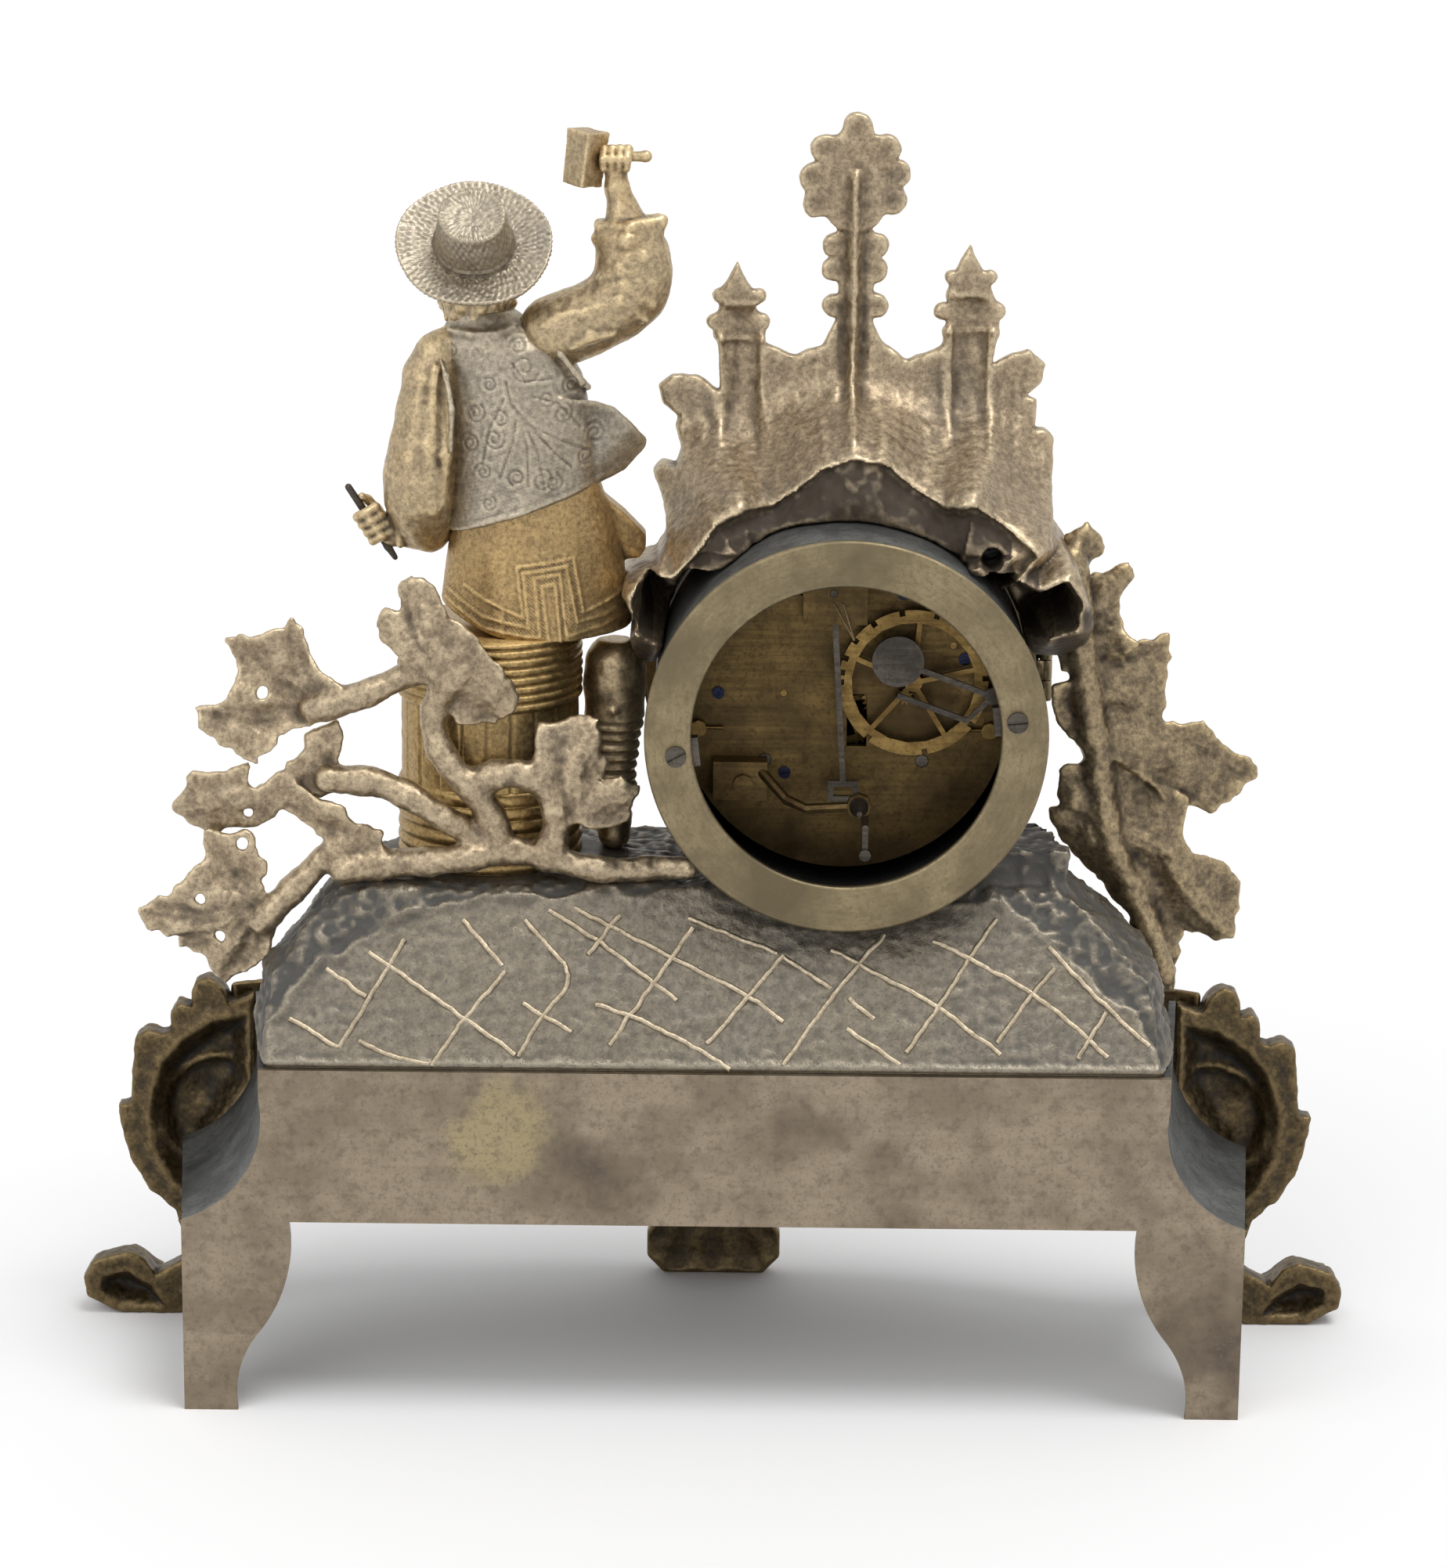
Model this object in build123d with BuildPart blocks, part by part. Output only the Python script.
from build123d import *
from math import acos, atan2, cos, degrees, hypot, pi, radians, sin, sqrt
import os

# Figural mantel clock: a stone carver beside a round clock drum in a pointed arch front,
# on a rocky mound that stands on a footed base.
# Millimetres. Up is +Z and the dial faces -Y. The origin is on the table, at the middle of the footprint.

# Base
LEG_HEIGHT = 56.3
COVE_HEIGHT = 36.0
COVE_STEP = 8.5
BASE_HEIGHT = LEG_HEIGHT + COVE_HEIGHT + COVE_STEP
REAR_Y = 60.0
PANEL_TOP_HALF = 126.0
PANEL_BOTTOM_HALF = 148.0
SHEET = 2.0
END_FRONT_Y = -10.0
END_SPREAD = 7.0
LEG_TOP_INNER = 118.0
LEG_FOOT_INNER = 133.0
LEG_SIDE_TOP = 30.0
LEG_SIDE_FOOT = 15.0
APRON_CORNER_Y = -19.0
APRON_FRONT_Y = -50.0
APRON_HALF = 141.0
APRON_DROP = 12.3
APRON_DROP_Z = LEG_HEIGHT - APRON_DROP
CENTER_FOOT_DEPTH = 9.0
CENTER_FOOT_HALF = 20.0
SCROLL_BACK_Y = -10.3
SCROLL_DEPTH = 8.0
SCROLL_WALL = 2.6
TOE_DEPTH = 22.0

# Mound
MOUND_HEIGHT = 46.2
MOUND_MIDDLE_HEIGHT = 23.2
MOUND_TOP_Z = BASE_HEIGHT + MOUND_HEIGHT
MOUND_MIDDLE_Z = BASE_HEIGHT + MOUND_MIDDLE_HEIGHT
MOUND_WALL = 4.0
LEDGE_MARGIN = 8.0

# Clock drum, set off the middle of the base
AXIS_X = -35.0
DRUM_RISE = 47.4
AXIS_Z = MOUND_TOP_Z + DRUM_RISE
DRUM_RADIUS = 53.0
DRUM_WALL = 1.0
DRUM_FRONT_Y = -26.2
DRUM_REAR_Y = 48.0
SEAT_GAP = 0.2
RING_RADIUS = 55.25
RING_HOLE_RADIUS = 42.35
RING_THICKNESS = 2.0
RING_CHAMFER = 0.5
STRAP_ANGLE = -6.5
STRAP_RADIUS = 46.8
STRAP_WIDTH = 8.0
STRAP_THICKNESS = 1.6
STRAP_LUG = 3.6
STRAP_OUTER = 50.0
RING_SCREW_RADIUS = 1.5
RING_SCREW_HEAD_RADIUS = 2.9
RING_SCREW_HEAD = 1.4
SCREW_SLOT = 0.7
SCREW_SLOT_DEPTH = 0.6

# Arch front and carved sheets. Their outline shares are of CARVING.
CARVING = 100.0
FACADE_BACK_Y = -18.0
FACADE_THICKNESS = 4.0
FACADE_COLLAR = 3.4
FACADE_RELIEF = 4.0
CANOPY_REAR_Y = 24.0
CANOPY_FLOOR = 4.0
VINE_LEFT_Y = 31.0
VINE_RIGHT_Y = -4.0
VINE_THICKNESS = 4.0

# Dial side
BEZEL_RADIUS = 57.0
DRUM_MARGIN = 4.0
RING_LIP_RADIUS = 43.0
FRONT_RING_INSET = 1.0
FRONT_RING_RADIUS = max(BEZEL_RADIUS, DRUM_RADIUS + DRUM_MARGIN) - FRONT_RING_INSET
LEDGE_GAP = 1.0
MOUND_LEDGE_Z = AXIS_Z - BEZEL_RADIUS - LEDGE_GAP
FRONT_RING_THICKNESS = 3.0
FRONT_RING_LIP = 2.0
SPIGOT_DEPTH = 6.0
SPIGOT_WALL = 1.6
DIAL_RADIUS = 44.0
DIAL_THICKNESS = 1.2
DIAL_BACK_Y = -26.0
DIAL_FOOT_RADIUS = 1.0
BEZEL_WIDTH = 13.5
BEZEL_SIGHT_RADIUS = BEZEL_RADIUS - BEZEL_WIDTH
BEZEL_DEPTH = 6.4
BEZEL_GAP = 0.4
GLASS_SEAT = 3.5
GLASS_RADIUS = BEZEL_SIGHT_RADIUS + GLASS_SEAT
GLASS_THICKNESS = 2.0
HINGE_PIN_RADIUS = 0.9
HINGE_BARREL_RADIUS = 1.9
HINGE_LENGTH = 18.0
RUNNING_GAP = 0.05
CENTER_HOLE_RADIUS = 4.0
WINDING_HOLE_RADIUS = 2.7

# Movement
PLATE_RADIUS = 46.0
PLATE_THICKNESS = 2.0
FRONT_PLATE_Y = -20.0
BACK_PLATE_Y = 17.0
PILLAR_RADIUS = 2.4
PILLAR_TENON_RADIUS = 1.6
PILLAR_RING_RADIUS = 41.0
PILLAR_ANGLES = (-8.0, 62.0, 118.0, 188.0)
PILLAR_KNOB = 2.4
TAPER_PIN_RADIUS = 0.5
TAPER_PIN_LENGTH = 7.0
ARBOR_RADIUS = 1.0
PIVOT_GAP = 0.05
CANNON_RADIUS = 2.0
HOUR_PIPE_RADIUS = 3.0
DIAL_FOOT_RING = 40.0
WHEEL_THICKNESS = 1.2
PINION_LENGTH = 2.4
BARREL_RADIUS = 15.6
BARREL_LENGTH = 17.0
BARREL_ARBOR_RADIUS = 1.8
SQUARE_SIDE = 2.6
HUB_RADIUS = 2.6
WHEEL_RIM = 1.8
SPOKE_WIDTH = 1.4
ADDENDUM_SHARE = 0.8
DEDENDUM_SHARE = 1.7

ESCAPE_RADIUS = 8.5
ESCAPE_TOOTH = 1.8
ESCAPE_LEAN = 0.9
PALLET_SPAN = 7.0
CRUTCH_LEAN = 3.4
PIN_WHEEL_RADIUS = 8.6
STRIKE_PIN_RADIUS = 0.5
STRIKE_PIN_LENGTH = 3.6
FLY_SPAN = 11.0
FLY_LENGTH = 12.0
FLY_REAR_Y = 0.0

# Tooth counts
GREAT_TEETH = 48
SECOND_PINION_TEETH = 8
SECOND_WHEEL_TEETH = 48
CENTER_PINION_TEETH = 8
CENTER_WHEEL_TEETH = 48
THIRD_PINION_TEETH = 8
THIRD_WHEEL_TEETH = 40
ESCAPE_TEETH = 24
STRIKE_WHEEL_TEETH = 48
PIN_PINION_TEETH = 8
COUNT_PINION_TEETH = 10
COUNT_GEAR_TEETH = 12
CANNON_TEETH = 8
MINUTE_WHEEL_TEETH = 24
MINUTE_PINION_TEETH = 10
HOUR_WHEEL_TEETH = 40
BLOWS = 10

# Arbor places, from the drum's axis, sideways and up
BARREL_U = 22.0
BARREL_V = -15.0
SECOND_U = 16.9
SECOND_V = 4.2
THIRD_U = -3.5
THIRD_V = 15.6
ESCAPE_U = 3.6
ESCAPE_V = 24.6
PALLET_V = 35.8
PIN_WHEEL_U = -20.0
PIN_WHEEL_V = 17.8
FLY_U = -30.1
FLY_V = 18.3
COUNT_U = -19.0
COUNT_V = 8.7
HAMMER_U = -6.0
HAMMER_V = -29.5
MINUTE_WHEEL_U = 7.0
MINUTE_WHEEL_V = -9.0
LEVER_DISC_U = -14.5
LEVER_DISC_V = 15.7

# Levels of the wheels, measured back from the front plate's inner face
GREAT_LEVEL = 1.5
THIRD_LEVEL = 27.4
PIN_LEVEL = 25.4
CENTER_LEVEL = 23.4
SECOND_LEVEL = 30.4

# Levels of the motion work, measured forward from the front plate's outer face
MINUTE_LEVEL = 0.6
HOUR_LEVEL = 3.0
MOTION_THICKNESS = 1.0

# Work behind the back plate
COUNT_RADIUS = 20.8
COUNT_RIM = 3.6
COUNT_THICKNESS = 1.2
COUNT_LEVEL = 3.4
COUNT_GEAR_LEVEL = 0.6
COUNT_SPOKE_ANGLE = 95.0
COUNT_HUB_RADIUS = 1.6
COUNT_DIVISIONS = 90
HOURS = 12
COUNT_NOTCH = 1.6
LEVER_DISC_RADIUS = 7.2
LEVER_DISC_LEVEL = 8.6
LEVER_DISC_THICKNESS = 1.6
LEVER_THICKNESS = 1.0
CRUTCH_LEVEL = 7.0
CRUTCH_WIDTH = 1.6
CRUTCH_LENGTH = 54.5
FORK_WIDTH = 8.4
FORK_HEIGHT = 6.0
FORK_BAR = 1.6
COCK_LEVEL = 10.0
COCK_THICKNESS = 2.4
COCK_LEFT = -5.7
COCK_RIGHT = 12.0
COCK_WALL = 3.2
COCK_FOOT_V = 27.0
COCK_TOP_V = 39.0
COCK_FLANGE_RIGHT = 25.0
COCK_FLANGE_TOP_V = 33.0
SILK_RADIUS = 0.3
SILK_U = -2.2
SILK_V = 22.7
HAMMER_LEVEL = 17.0
HAMMER_LENGTH = 7.5
HAMMER_HEAD_RADIUS = 1.7
HAMMER_HEAD_LENGTH = 4.0
BELL_STAND_WIDTH = 15.0
BELL_STAND_HEIGHT = 11.0
BELL_STAND_DEPTH = 7.0
BELL_STAND_U = 28.8
BELL_STAND_V = -19.5
BELL_ARM_RADIUS = 1.5
BELL_U = -4.0
BELL_V = -22.3
BELL_ARM_LEVEL = 20.0
BELL_NUT_RADIUS = 2.6
BELL_NUT_LENGTH = 8.0

LEVER_POST_U = -41.0
LEVER_POST_V = 6.0
LEVER_KNEE_U = -33.8
LEVER_KNEE_V = -1.0
PLATE_WINDOW_U = -3.6
PLATE_WINDOW_V = -3.4
PLATE_WINDOW_WIDTH = 5.6
PLATE_WINDOW_HEIGHT = 15.0

HAMMER_TAIL_U = -13.0
HAMMER_TAIL_V = 12.0
HAMMER_TAIL_Y = 5.0
BELL_SCREW_U = 27.9
BELL_SCREW_V = -20.2
WASHER_RADIUS = 3.4

# Hinge of the bezel
HINGE_Y = -29.4
HINGE_REACH = FRONT_RING_RADIUS + FRONT_RING_INSET + HINGE_BARREL_RADIUS
HINGE_X = AXIS_X - HINGE_REACH
HINGE_BITE = 3.6

# Hands
HOUR_HAND_LENGTH = 24.0
MINUTE_HAND_LENGTH = 35.0
HAND_THICKNESS = 0.6
HAND_BOSS = 3.8
HOUR_HAND_ANGLE = 150.0
MINUTE_HAND_ANGLE = 90.0
HOUR_HAND_Y = -28.2
MINUTE_HAND_Y = -29.4

# Figure, from the middle of the cask's foot
FIGURE_X = 64.5
CASK_RADIUS = 26.0
CASK_HEIGHT = 60.0
HAT_TILT = 44.5
HAT_RADIUS = 21.3
HAT_X = 4.0
HAT_Y = 2.0
HAT_Z = 173.0
CROWN_RADIUS = 8.8
CROWN_FOOT_RADIUS = 10.4
CROWN_HEIGHT = 15.0
BRIM_THICKNESS = 1.6
BRIM_DISH = 2.4
HEAD_HALF_WIDTH = 8.6
HEAD_HALF_DEPTH = 10.0
HEAD_HALF_HEIGHT = 12.6
CHISEL_RADIUS = 1.1
HANDLE_RADIUS = 1.5
MALLET_DEPTH = 10.0


os.makedirs("parts", exist_ok=True)


# Sides of the small rounds, which are drawn with few sides because they repeat
BAR_SIDES = 8
HEAD_SIDES = 16
LIMB_SIDES = 12
SMALL_ROUND = 4.0


def facing(y, x=0, z=0):
    """The plane at depth y that looks to the front, with its own X along +X and its Y up."""
    return Plane(origin=(x, y, z), x_dir=(1, 0, 0), z_dir=(0, -1, 0))


def on_axis(y, u=0, v=0):
    """The plane that looks to the front at depth y, centred u sideways and v above the drum's axis."""
    return facing(y, AXIS_X + u, AXIS_Z + v)


def finish(part, name):
    """Label one piece and write it to its own file."""
    part.part.label = name
    export_step(part.part, f"parts/{name}.step")


def carved(shares, x=0, z=0):
    """The corner points of a carved outline whose shares are of CARVING, from x and z."""
    return [(x + CARVING * u, z + CARVING * v) for u, v in shares]


def bar(radius, clear=False, mode=Mode.ADD):
    """A round outline, with few sides where it is small. A clear one lies wholly outside its circle."""
    if radius > SMALL_ROUND:
        Circle(radius, mode=mode)
    else:
        RegularPolygon(radius, BAR_SIDES, major_radius=not clear, mode=mode)


def ribbon(points, widths):
    """The closed outline of a bent strip that runs through points, with a width at each."""
    left = []
    right = []
    for i, (x, z) in enumerate(points):
        ax, az = points[max(i - 1, 0)]
        bx, bz = points[min(i + 1, len(points) - 1)]
        run = hypot(bx - ax, bz - az)
        nx = (az - bz) / run * widths[i] / 2
        nz = (bx - ax) / run * widths[i] / 2
        left.append((x + nx, z + nz))
        right.append((x - nx, z - nz))
    return left + right[::-1]


# Base pieces
COVE_MIDDLE_SHARE = 1 - sqrt(0.5)
KNEE_SHARES = (0.57, 0.42)
UPPER_OGEE_SHARES = (0.1, 0.66)
LOWER_OGEE_SHARES = (0.93, 0.24)


def cove_points(side, spread=0):
    """Top, start, middle and foot of a coved end, moved outward by spread."""
    width = PANEL_BOTTOM_HALF - PANEL_TOP_HALF
    xs = (0, 0, COVE_MIDDLE_SHARE * width, width)
    zs = (BASE_HEIGHT, LEG_HEIGHT + COVE_HEIGHT, LEG_HEIGHT + COVE_MIDDLE_SHARE * COVE_HEIGHT, LEG_HEIGHT)
    return [(side * (PANEL_TOP_HALF + spread + x), z) for x, z in zip(xs, zs)]


with BuildPart() as rear_panel:
    with BuildSketch(facing(REAR_Y)):
        with BuildLine():
            right = cove_points(1)
            left = cove_points(-1)
            Polyline(right[1], right[0], left[0], left[1])
            ThreePointArc(left[1], left[2], left[3])
            Line(left[3], right[3])
            ThreePointArc(right[3], right[2], right[1])
        make_face()
    extrude(amount=SHEET)
finish(rear_panel, "rear_panel")


def end_panel(side):
    """One coved end sheet, which spreads outward as it runs forward."""
    with BuildPart() as panel:
        for y, spread in ((REAR_Y - SHEET, 0), (END_FRONT_Y, END_SPREAD)):
            outer = cove_points(side, spread)
            inner = cove_points(side, spread - SHEET)
            with BuildSketch(facing(y)):
                with BuildLine():
                    Polyline(inner[1], inner[0], outer[0], outer[1])
                    ThreePointArc(outer[1], outer[2], outer[3])
                    Line(outer[3], inner[3])
                    ThreePointArc(inner[3], inner[2], inner[1])
                make_face()
        loft(ruled=True)
    return panel


def ogee(outer, top_inner, foot_inner):
    """Outline of a leg plate, from its straight outer edge to its ogee inner edge."""
    run = foot_inner - top_inner
    upper = (top_inner + run * UPPER_OGEE_SHARES[0], LEG_HEIGHT * UPPER_OGEE_SHARES[1])
    knee = (top_inner + run * KNEE_SHARES[0], LEG_HEIGHT * KNEE_SHARES[1])
    lower = (top_inner + run * LOWER_OGEE_SHARES[0], LEG_HEIGHT * LOWER_OGEE_SHARES[1])
    Polyline((foot_inner, 0), (outer, 0), (outer, LEG_HEIGHT), (top_inner, LEG_HEIGHT))
    ThreePointArc((top_inner, LEG_HEIGHT), upper, knee)
    ThreePointArc(knee, lower, (foot_inner, 0))


def rear_leg(side):
    """One bent sheet leg: a plate across the back and a plate along the side."""
    outer = side * PANEL_BOTTOM_HALF
    along = Plane(origin=(outer, 0, 0), x_dir=(0, 1, 0), z_dir=(1, 0, 0))
    with BuildPart() as leg:
        with BuildSketch(facing(REAR_Y)):
            with BuildLine():
                ogee(outer, side * LEG_TOP_INNER, side * LEG_FOOT_INNER)
            make_face()
        extrude(amount=SHEET)
        with BuildSketch(along):
            with BuildLine():
                ogee(REAR_Y, REAR_Y - LEG_SIDE_TOP, REAR_Y - LEG_SIDE_FOOT)
            make_face()
        extrude(amount=-side * SHEET)
    return leg


SCROLL_SHARES = (
    (-0.14, 0.98), (-0.07, 0.96), (-0.05, 1.0), (-0.01, 1.03), (0.03, 1.02), (0.04, 0.98), (0.04, 0.94),
    (0.08, 0.95), (0.1, 0.92), (0.1, 0.87), (0.13, 0.86), (0.17, 0.87), (0.2, 0.85), (0.21, 0.81),
    (0.22, 0.65), (0.26, 0.64), (0.25, 0.57), (0.22, 0.46), (0.17, 0.38), (0.1, 0.32), (0.07, 0.24),
    (0.08, 0.17), (0.16, 0.12), (0.19, 0.17), (0.24, 0.19), (0.34, 0.16), (0.37, 0.11), (0.36, 0.05),
    (0.27, 0.0), (0.09, 0.0), (0.0, 0.06), (-0.04, 0.16), (-0.04, 0.3), (-0.02, 0.42), (-0.08, 0.55),
    (-0.14, 0.7),
)
SCROLL_HOLLOW_SHARES = (
    (-0.11, 0.93), (-0.02, 0.92), (0.07, 0.86), (0.15, 0.81), (0.19, 0.64), (0.18, 0.52), (0.12, 0.42),
    (0.05, 0.36), (0.01, 0.42), (-0.03, 0.56), (-0.11, 0.72),
)
TOE_SHARES = ((0.09, 0.0), (0.27, 0.0), (0.35, 0.06), (0.34, 0.13), (0.24, 0.16), (0.15, 0.1))


def corner_scroll(side):
    """One cast corner: a leafy scroll, hollow behind, that runs down into a curled foot."""
    def placed(shares):
        return [(side * (PANEL_BOTTOM_HALF + BASE_HEIGHT * u), BASE_HEIGHT * v) for u, v in shares]

    with BuildPart() as scroll:
        with BuildSketch(facing(SCROLL_BACK_Y)):
            with BuildLine():
                Polyline(*placed(SCROLL_SHARES), close=True)
            make_face()
        extrude(amount=SCROLL_DEPTH)
        with BuildSketch(facing(SCROLL_BACK_Y)):
            with BuildLine():
                Polyline(*placed(SCROLL_HOLLOW_SHARES), close=True)
            make_face()
        extrude(amount=SCROLL_DEPTH - SCROLL_WALL, mode=Mode.SUBTRACT)
        with BuildSketch(facing(SCROLL_BACK_Y - SCROLL_DEPTH)):
            with BuildLine():
                Polyline(*placed(TOE_SHARES), close=True)
            make_face()
        extrude(amount=TOE_DEPTH - SCROLL_DEPTH)
    return scroll


for side, where in ((1, "left"), (-1, "right")):
    finish(end_panel(side), f"end_panel_{where}")
    finish(rear_leg(side), f"rear_leg_{where}")
scrolls = {side: corner_scroll(side) for side in (1, -1)}
finish(scrolls[1], "corner_scroll_left")
finish(scrolls[-1], "corner_scroll_right")

APRON_EDGE_SHARES = ((1.0, 0.2), (0.85, 0.9), (0.7, 0.35), (0.55, 1.1), (0.38, 0.4), (0.26, 0.2), (0.14, 0.0))

with BuildPart() as front_apron:
    with BuildSketch(Plane.XY.offset(APRON_DROP_Z)):
        with BuildLine():
            back = [(APRON_HALF, APRON_CORNER_Y), (0, APRON_FRONT_Y + SHEET), (-APRON_HALF, APRON_CORNER_Y)]
            front = [(x, y - SHEET) for x, y in back]
            ThreePointArc(*back)
            Line(back[2], front[2])
            ThreePointArc(front[2], front[1], front[0])
            Line(front[0], back[0])
        make_face()
    extrude(amount=BASE_HEIGHT - APRON_DROP_Z)
    with BuildSketch(facing(0)):
        with BuildLine():
            drop = LEG_HEIGHT - APRON_DROP_Z
            half = [(APRON_HALF * u, APRON_DROP_Z + drop * v) for u, v in APRON_EDGE_SHARES]
            edge = half + [(-x, z) for x, z in half[::-1]]
            low = APRON_DROP_Z - drop
            Polyline(*edge, (-APRON_HALF - drop, low), (APRON_HALF + drop, low), close=True)
        make_face()
    extrude(amount=-APRON_FRONT_Y + SHEET, mode=Mode.SUBTRACT)
    for scroll in scrolls.values():
        add(scroll.part, mode=Mode.SUBTRACT)
finish(front_apron, "front_apron")

CENTER_FOOT_SHARES = (
    (0.75, 0.0), (1.0, 0.12), (1.0, 0.3), (0.8, 0.42), (0.9, 0.6), (0.7, 0.78), (0.5, 0.8), (0.45, 1.0),
)
with BuildPart() as center_foot:
    with BuildSketch(facing(APRON_FRONT_Y + SHEET)):
        with BuildLine():
            half = [(CENTER_FOOT_HALF * u, APRON_DROP_Z * v) for u, v in CENTER_FOOT_SHARES]
            Polyline(*half, *[(-x, z) for x, z in half[::-1]], close=True)
        make_face()
    extrude(amount=CENTER_FOOT_DEPTH)
finish(center_foot, "center_foot")


# Drum
def turned(points, u=0, v=0):
    """Revolve a closed outline of radius and depth pairs about an axis u and v from the drum's."""
    with BuildSketch(Plane.XY.offset(AXIS_Z + v)) as outline:
        with BuildLine():
            Polyline(*[(AXIS_X + u + r, y) for r, y in points], close=True)
        make_face()
    revolve(profiles=outline.sketch, axis=Axis((AXIS_X + u, 0, AXIS_Z + v), (0, 1, 0)))


def strap_place(sign):
    """Sideways and upward place of one ring screw from the drum's axis."""
    angle = radians(STRAP_ANGLE)
    return sign * STRAP_RADIUS * cos(angle), sign * STRAP_RADIUS * sin(angle)


with BuildPart() as drum_case:
    with BuildSketch(on_axis(DRUM_REAR_Y)):
        Circle(DRUM_RADIUS)
        Circle(DRUM_RADIUS - DRUM_WALL, mode=Mode.SUBTRACT)
    extrude(amount=DRUM_REAR_Y - DRUM_FRONT_Y)
finish(drum_case, "drum_case")

with BuildPart() as rear_ring:
    with BuildSketch(on_axis(DRUM_REAR_Y + RING_THICKNESS)):
        Circle(RING_RADIUS)
        Circle(RING_HOLE_RADIUS, mode=Mode.SUBTRACT)
        with Locations(strap_place(1), strap_place(-1)):
            bar(RING_SCREW_RADIUS, True, Mode.SUBTRACT)
    extrude(amount=RING_THICKNESS)
    chamfer(rear_ring.faces().sort_by(Axis.Y)[-1].edges().sort_by(Edge.length)[-2:], RING_CHAMFER)
finish(rear_ring, "rear_ring")

with BuildPart() as ring_screws:
    for sign in (1, -1):
        place = strap_place(sign)
        with BuildSketch(on_axis(DRUM_REAR_Y + RING_THICKNESS + RING_SCREW_HEAD, *place)):
            RegularPolygon(RING_SCREW_HEAD_RADIUS, HEAD_SIDES)
            Rectangle(RING_SCREW_HEAD_RADIUS * 2, SCREW_SLOT, mode=Mode.SUBTRACT)
        extrude(amount=SCREW_SLOT_DEPTH)
        with BuildSketch(on_axis(DRUM_REAR_Y + RING_THICKNESS + RING_SCREW_HEAD - SCREW_SLOT_DEPTH, *place)):
            RegularPolygon(RING_SCREW_HEAD_RADIUS, HEAD_SIDES)
        extrude(amount=RING_SCREW_HEAD - SCREW_SLOT_DEPTH)
        with BuildSketch(on_axis(DRUM_REAR_Y + RING_THICKNESS, *place)):
            bar(RING_SCREW_RADIUS)
        extrude(amount=RING_THICKNESS + STRAP_LUG)
finish(ring_screws, "ring_screws")

RING_BACK_Y = DRUM_FRONT_Y - FRONT_RING_THICKNESS
LIP_BACK_Y = RING_BACK_Y + FRONT_RING_LIP
with BuildPart() as ring_straps:
    for sign in (1, -1):
        plane = Plane(
            origin=(AXIS_X, DRUM_REAR_Y - SEAT_GAP, AXIS_Z),
            x_dir=(sign * cos(radians(STRAP_ANGLE)), 0, sign * sin(radians(STRAP_ANGLE))),
            z_dir=(0, -1, 0),
        )
        with BuildSketch(plane):
            with Locations((STRAP_OUTER - STRAP_THICKNESS / 2, 0)):
                Rectangle(STRAP_THICKNESS, STRAP_WIDTH)
        extrude(amount=DRUM_REAR_Y - SEAT_GAP - LIP_BACK_Y - SEAT_GAP)
        with BuildSketch(plane):
            with Locations((STRAP_RADIUS - STRAP_THICKNESS, 0)):
                Rectangle((STRAP_OUTER - STRAP_RADIUS + STRAP_THICKNESS) * 2, STRAP_WIDTH)
            with Locations((STRAP_RADIUS, 0)):
                bar(RING_SCREW_RADIUS, True, Mode.SUBTRACT)
        extrude(amount=STRAP_LUG)
finish(ring_straps, "ring_straps")


# Mound. Its table gives three levels of the rock in plan, as shares of the panel's top half width.
MOUND_FOOT_SHARES = (
    (0.985, 0.468), (1.02, 0.3), (1.03, 0.08), (1.0, -0.17), (0.63, -0.31), (0.24, -0.38),
    (-0.24, -0.38), (-0.63, -0.31), (-1.0, -0.17), (-1.03, 0.08), (-1.02, 0.3), (-0.985, 0.468),
)
MOUND_MIDDLE_SHARES = (
    (0.98, 0.36), (1.01, 0.26), (0.98, 0.06), (0.92, -0.14), (0.6, -0.32), (0.22, -0.36),
    (-0.24, -0.36), (-0.62, -0.28), (-0.94, -0.12), (-0.98, 0.06), (-0.98, 0.26), (-0.96, 0.36),
)
MOUND_TOP_SHARES = (
    (0.84, 0.246), (0.84, 0.2), (0.81, 0.05), (0.76, -0.1), (0.56, -0.31), (0.21, -0.33),
    (-0.24, -0.33), (-0.54, -0.25), (-0.73, -0.08), (-0.76, 0.05), (-0.78, 0.2), (-0.77, 0.246),
)
ROCK_SHARES = ((-0.78, 0.2), (-0.76, 0.05), (-0.73, -0.06), (-0.5, -0.06), (-0.5, 0.2))
ROCK_TOP_SHARES = ((-0.76, 0.16), (-0.744, 0.04), (-0.72, -0.048), (-0.536, -0.048), (-0.536, 0.16))
ROCK_HEIGHT = 10.0


def rock_levels(inset, roof):
    """Sketch the rock's three levels, drawn in by inset, the highest one at roof."""
    reach = PANEL_TOP_HALF - inset
    levels = []
    heights = (BASE_HEIGHT, MOUND_MIDDLE_Z, roof)
    for z, shares in zip(heights, (MOUND_FOOT_SHARES, MOUND_MIDDLE_SHARES, MOUND_TOP_SHARES)):
        with BuildSketch(Plane.XY.offset(z)) as level:
            with BuildLine():
                Polyline(*[(reach * u, reach * v) for u, v in shares], close=True)
            make_face()
        levels.append(level.sketch)
    loft(sections=levels, ruled=True)


LEDGE_Y = DRUM_FRONT_Y - FRONT_RING_THICKNESS


def dial_ledge(z, y):
    """Cut away what stands above z and in front of y, where the bezel swings open."""
    with BuildSketch(Plane.XY.offset(z)) as ledge:
        with Locations((AXIS_X, y - BEZEL_RADIUS)):
            Rectangle((BEZEL_RADIUS + LEDGE_MARGIN) * 2, BEZEL_RADIUS * 2)
    extrude(to_extrude=ledge.sketch, amount=BEZEL_RADIUS, mode=Mode.SUBTRACT)


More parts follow.
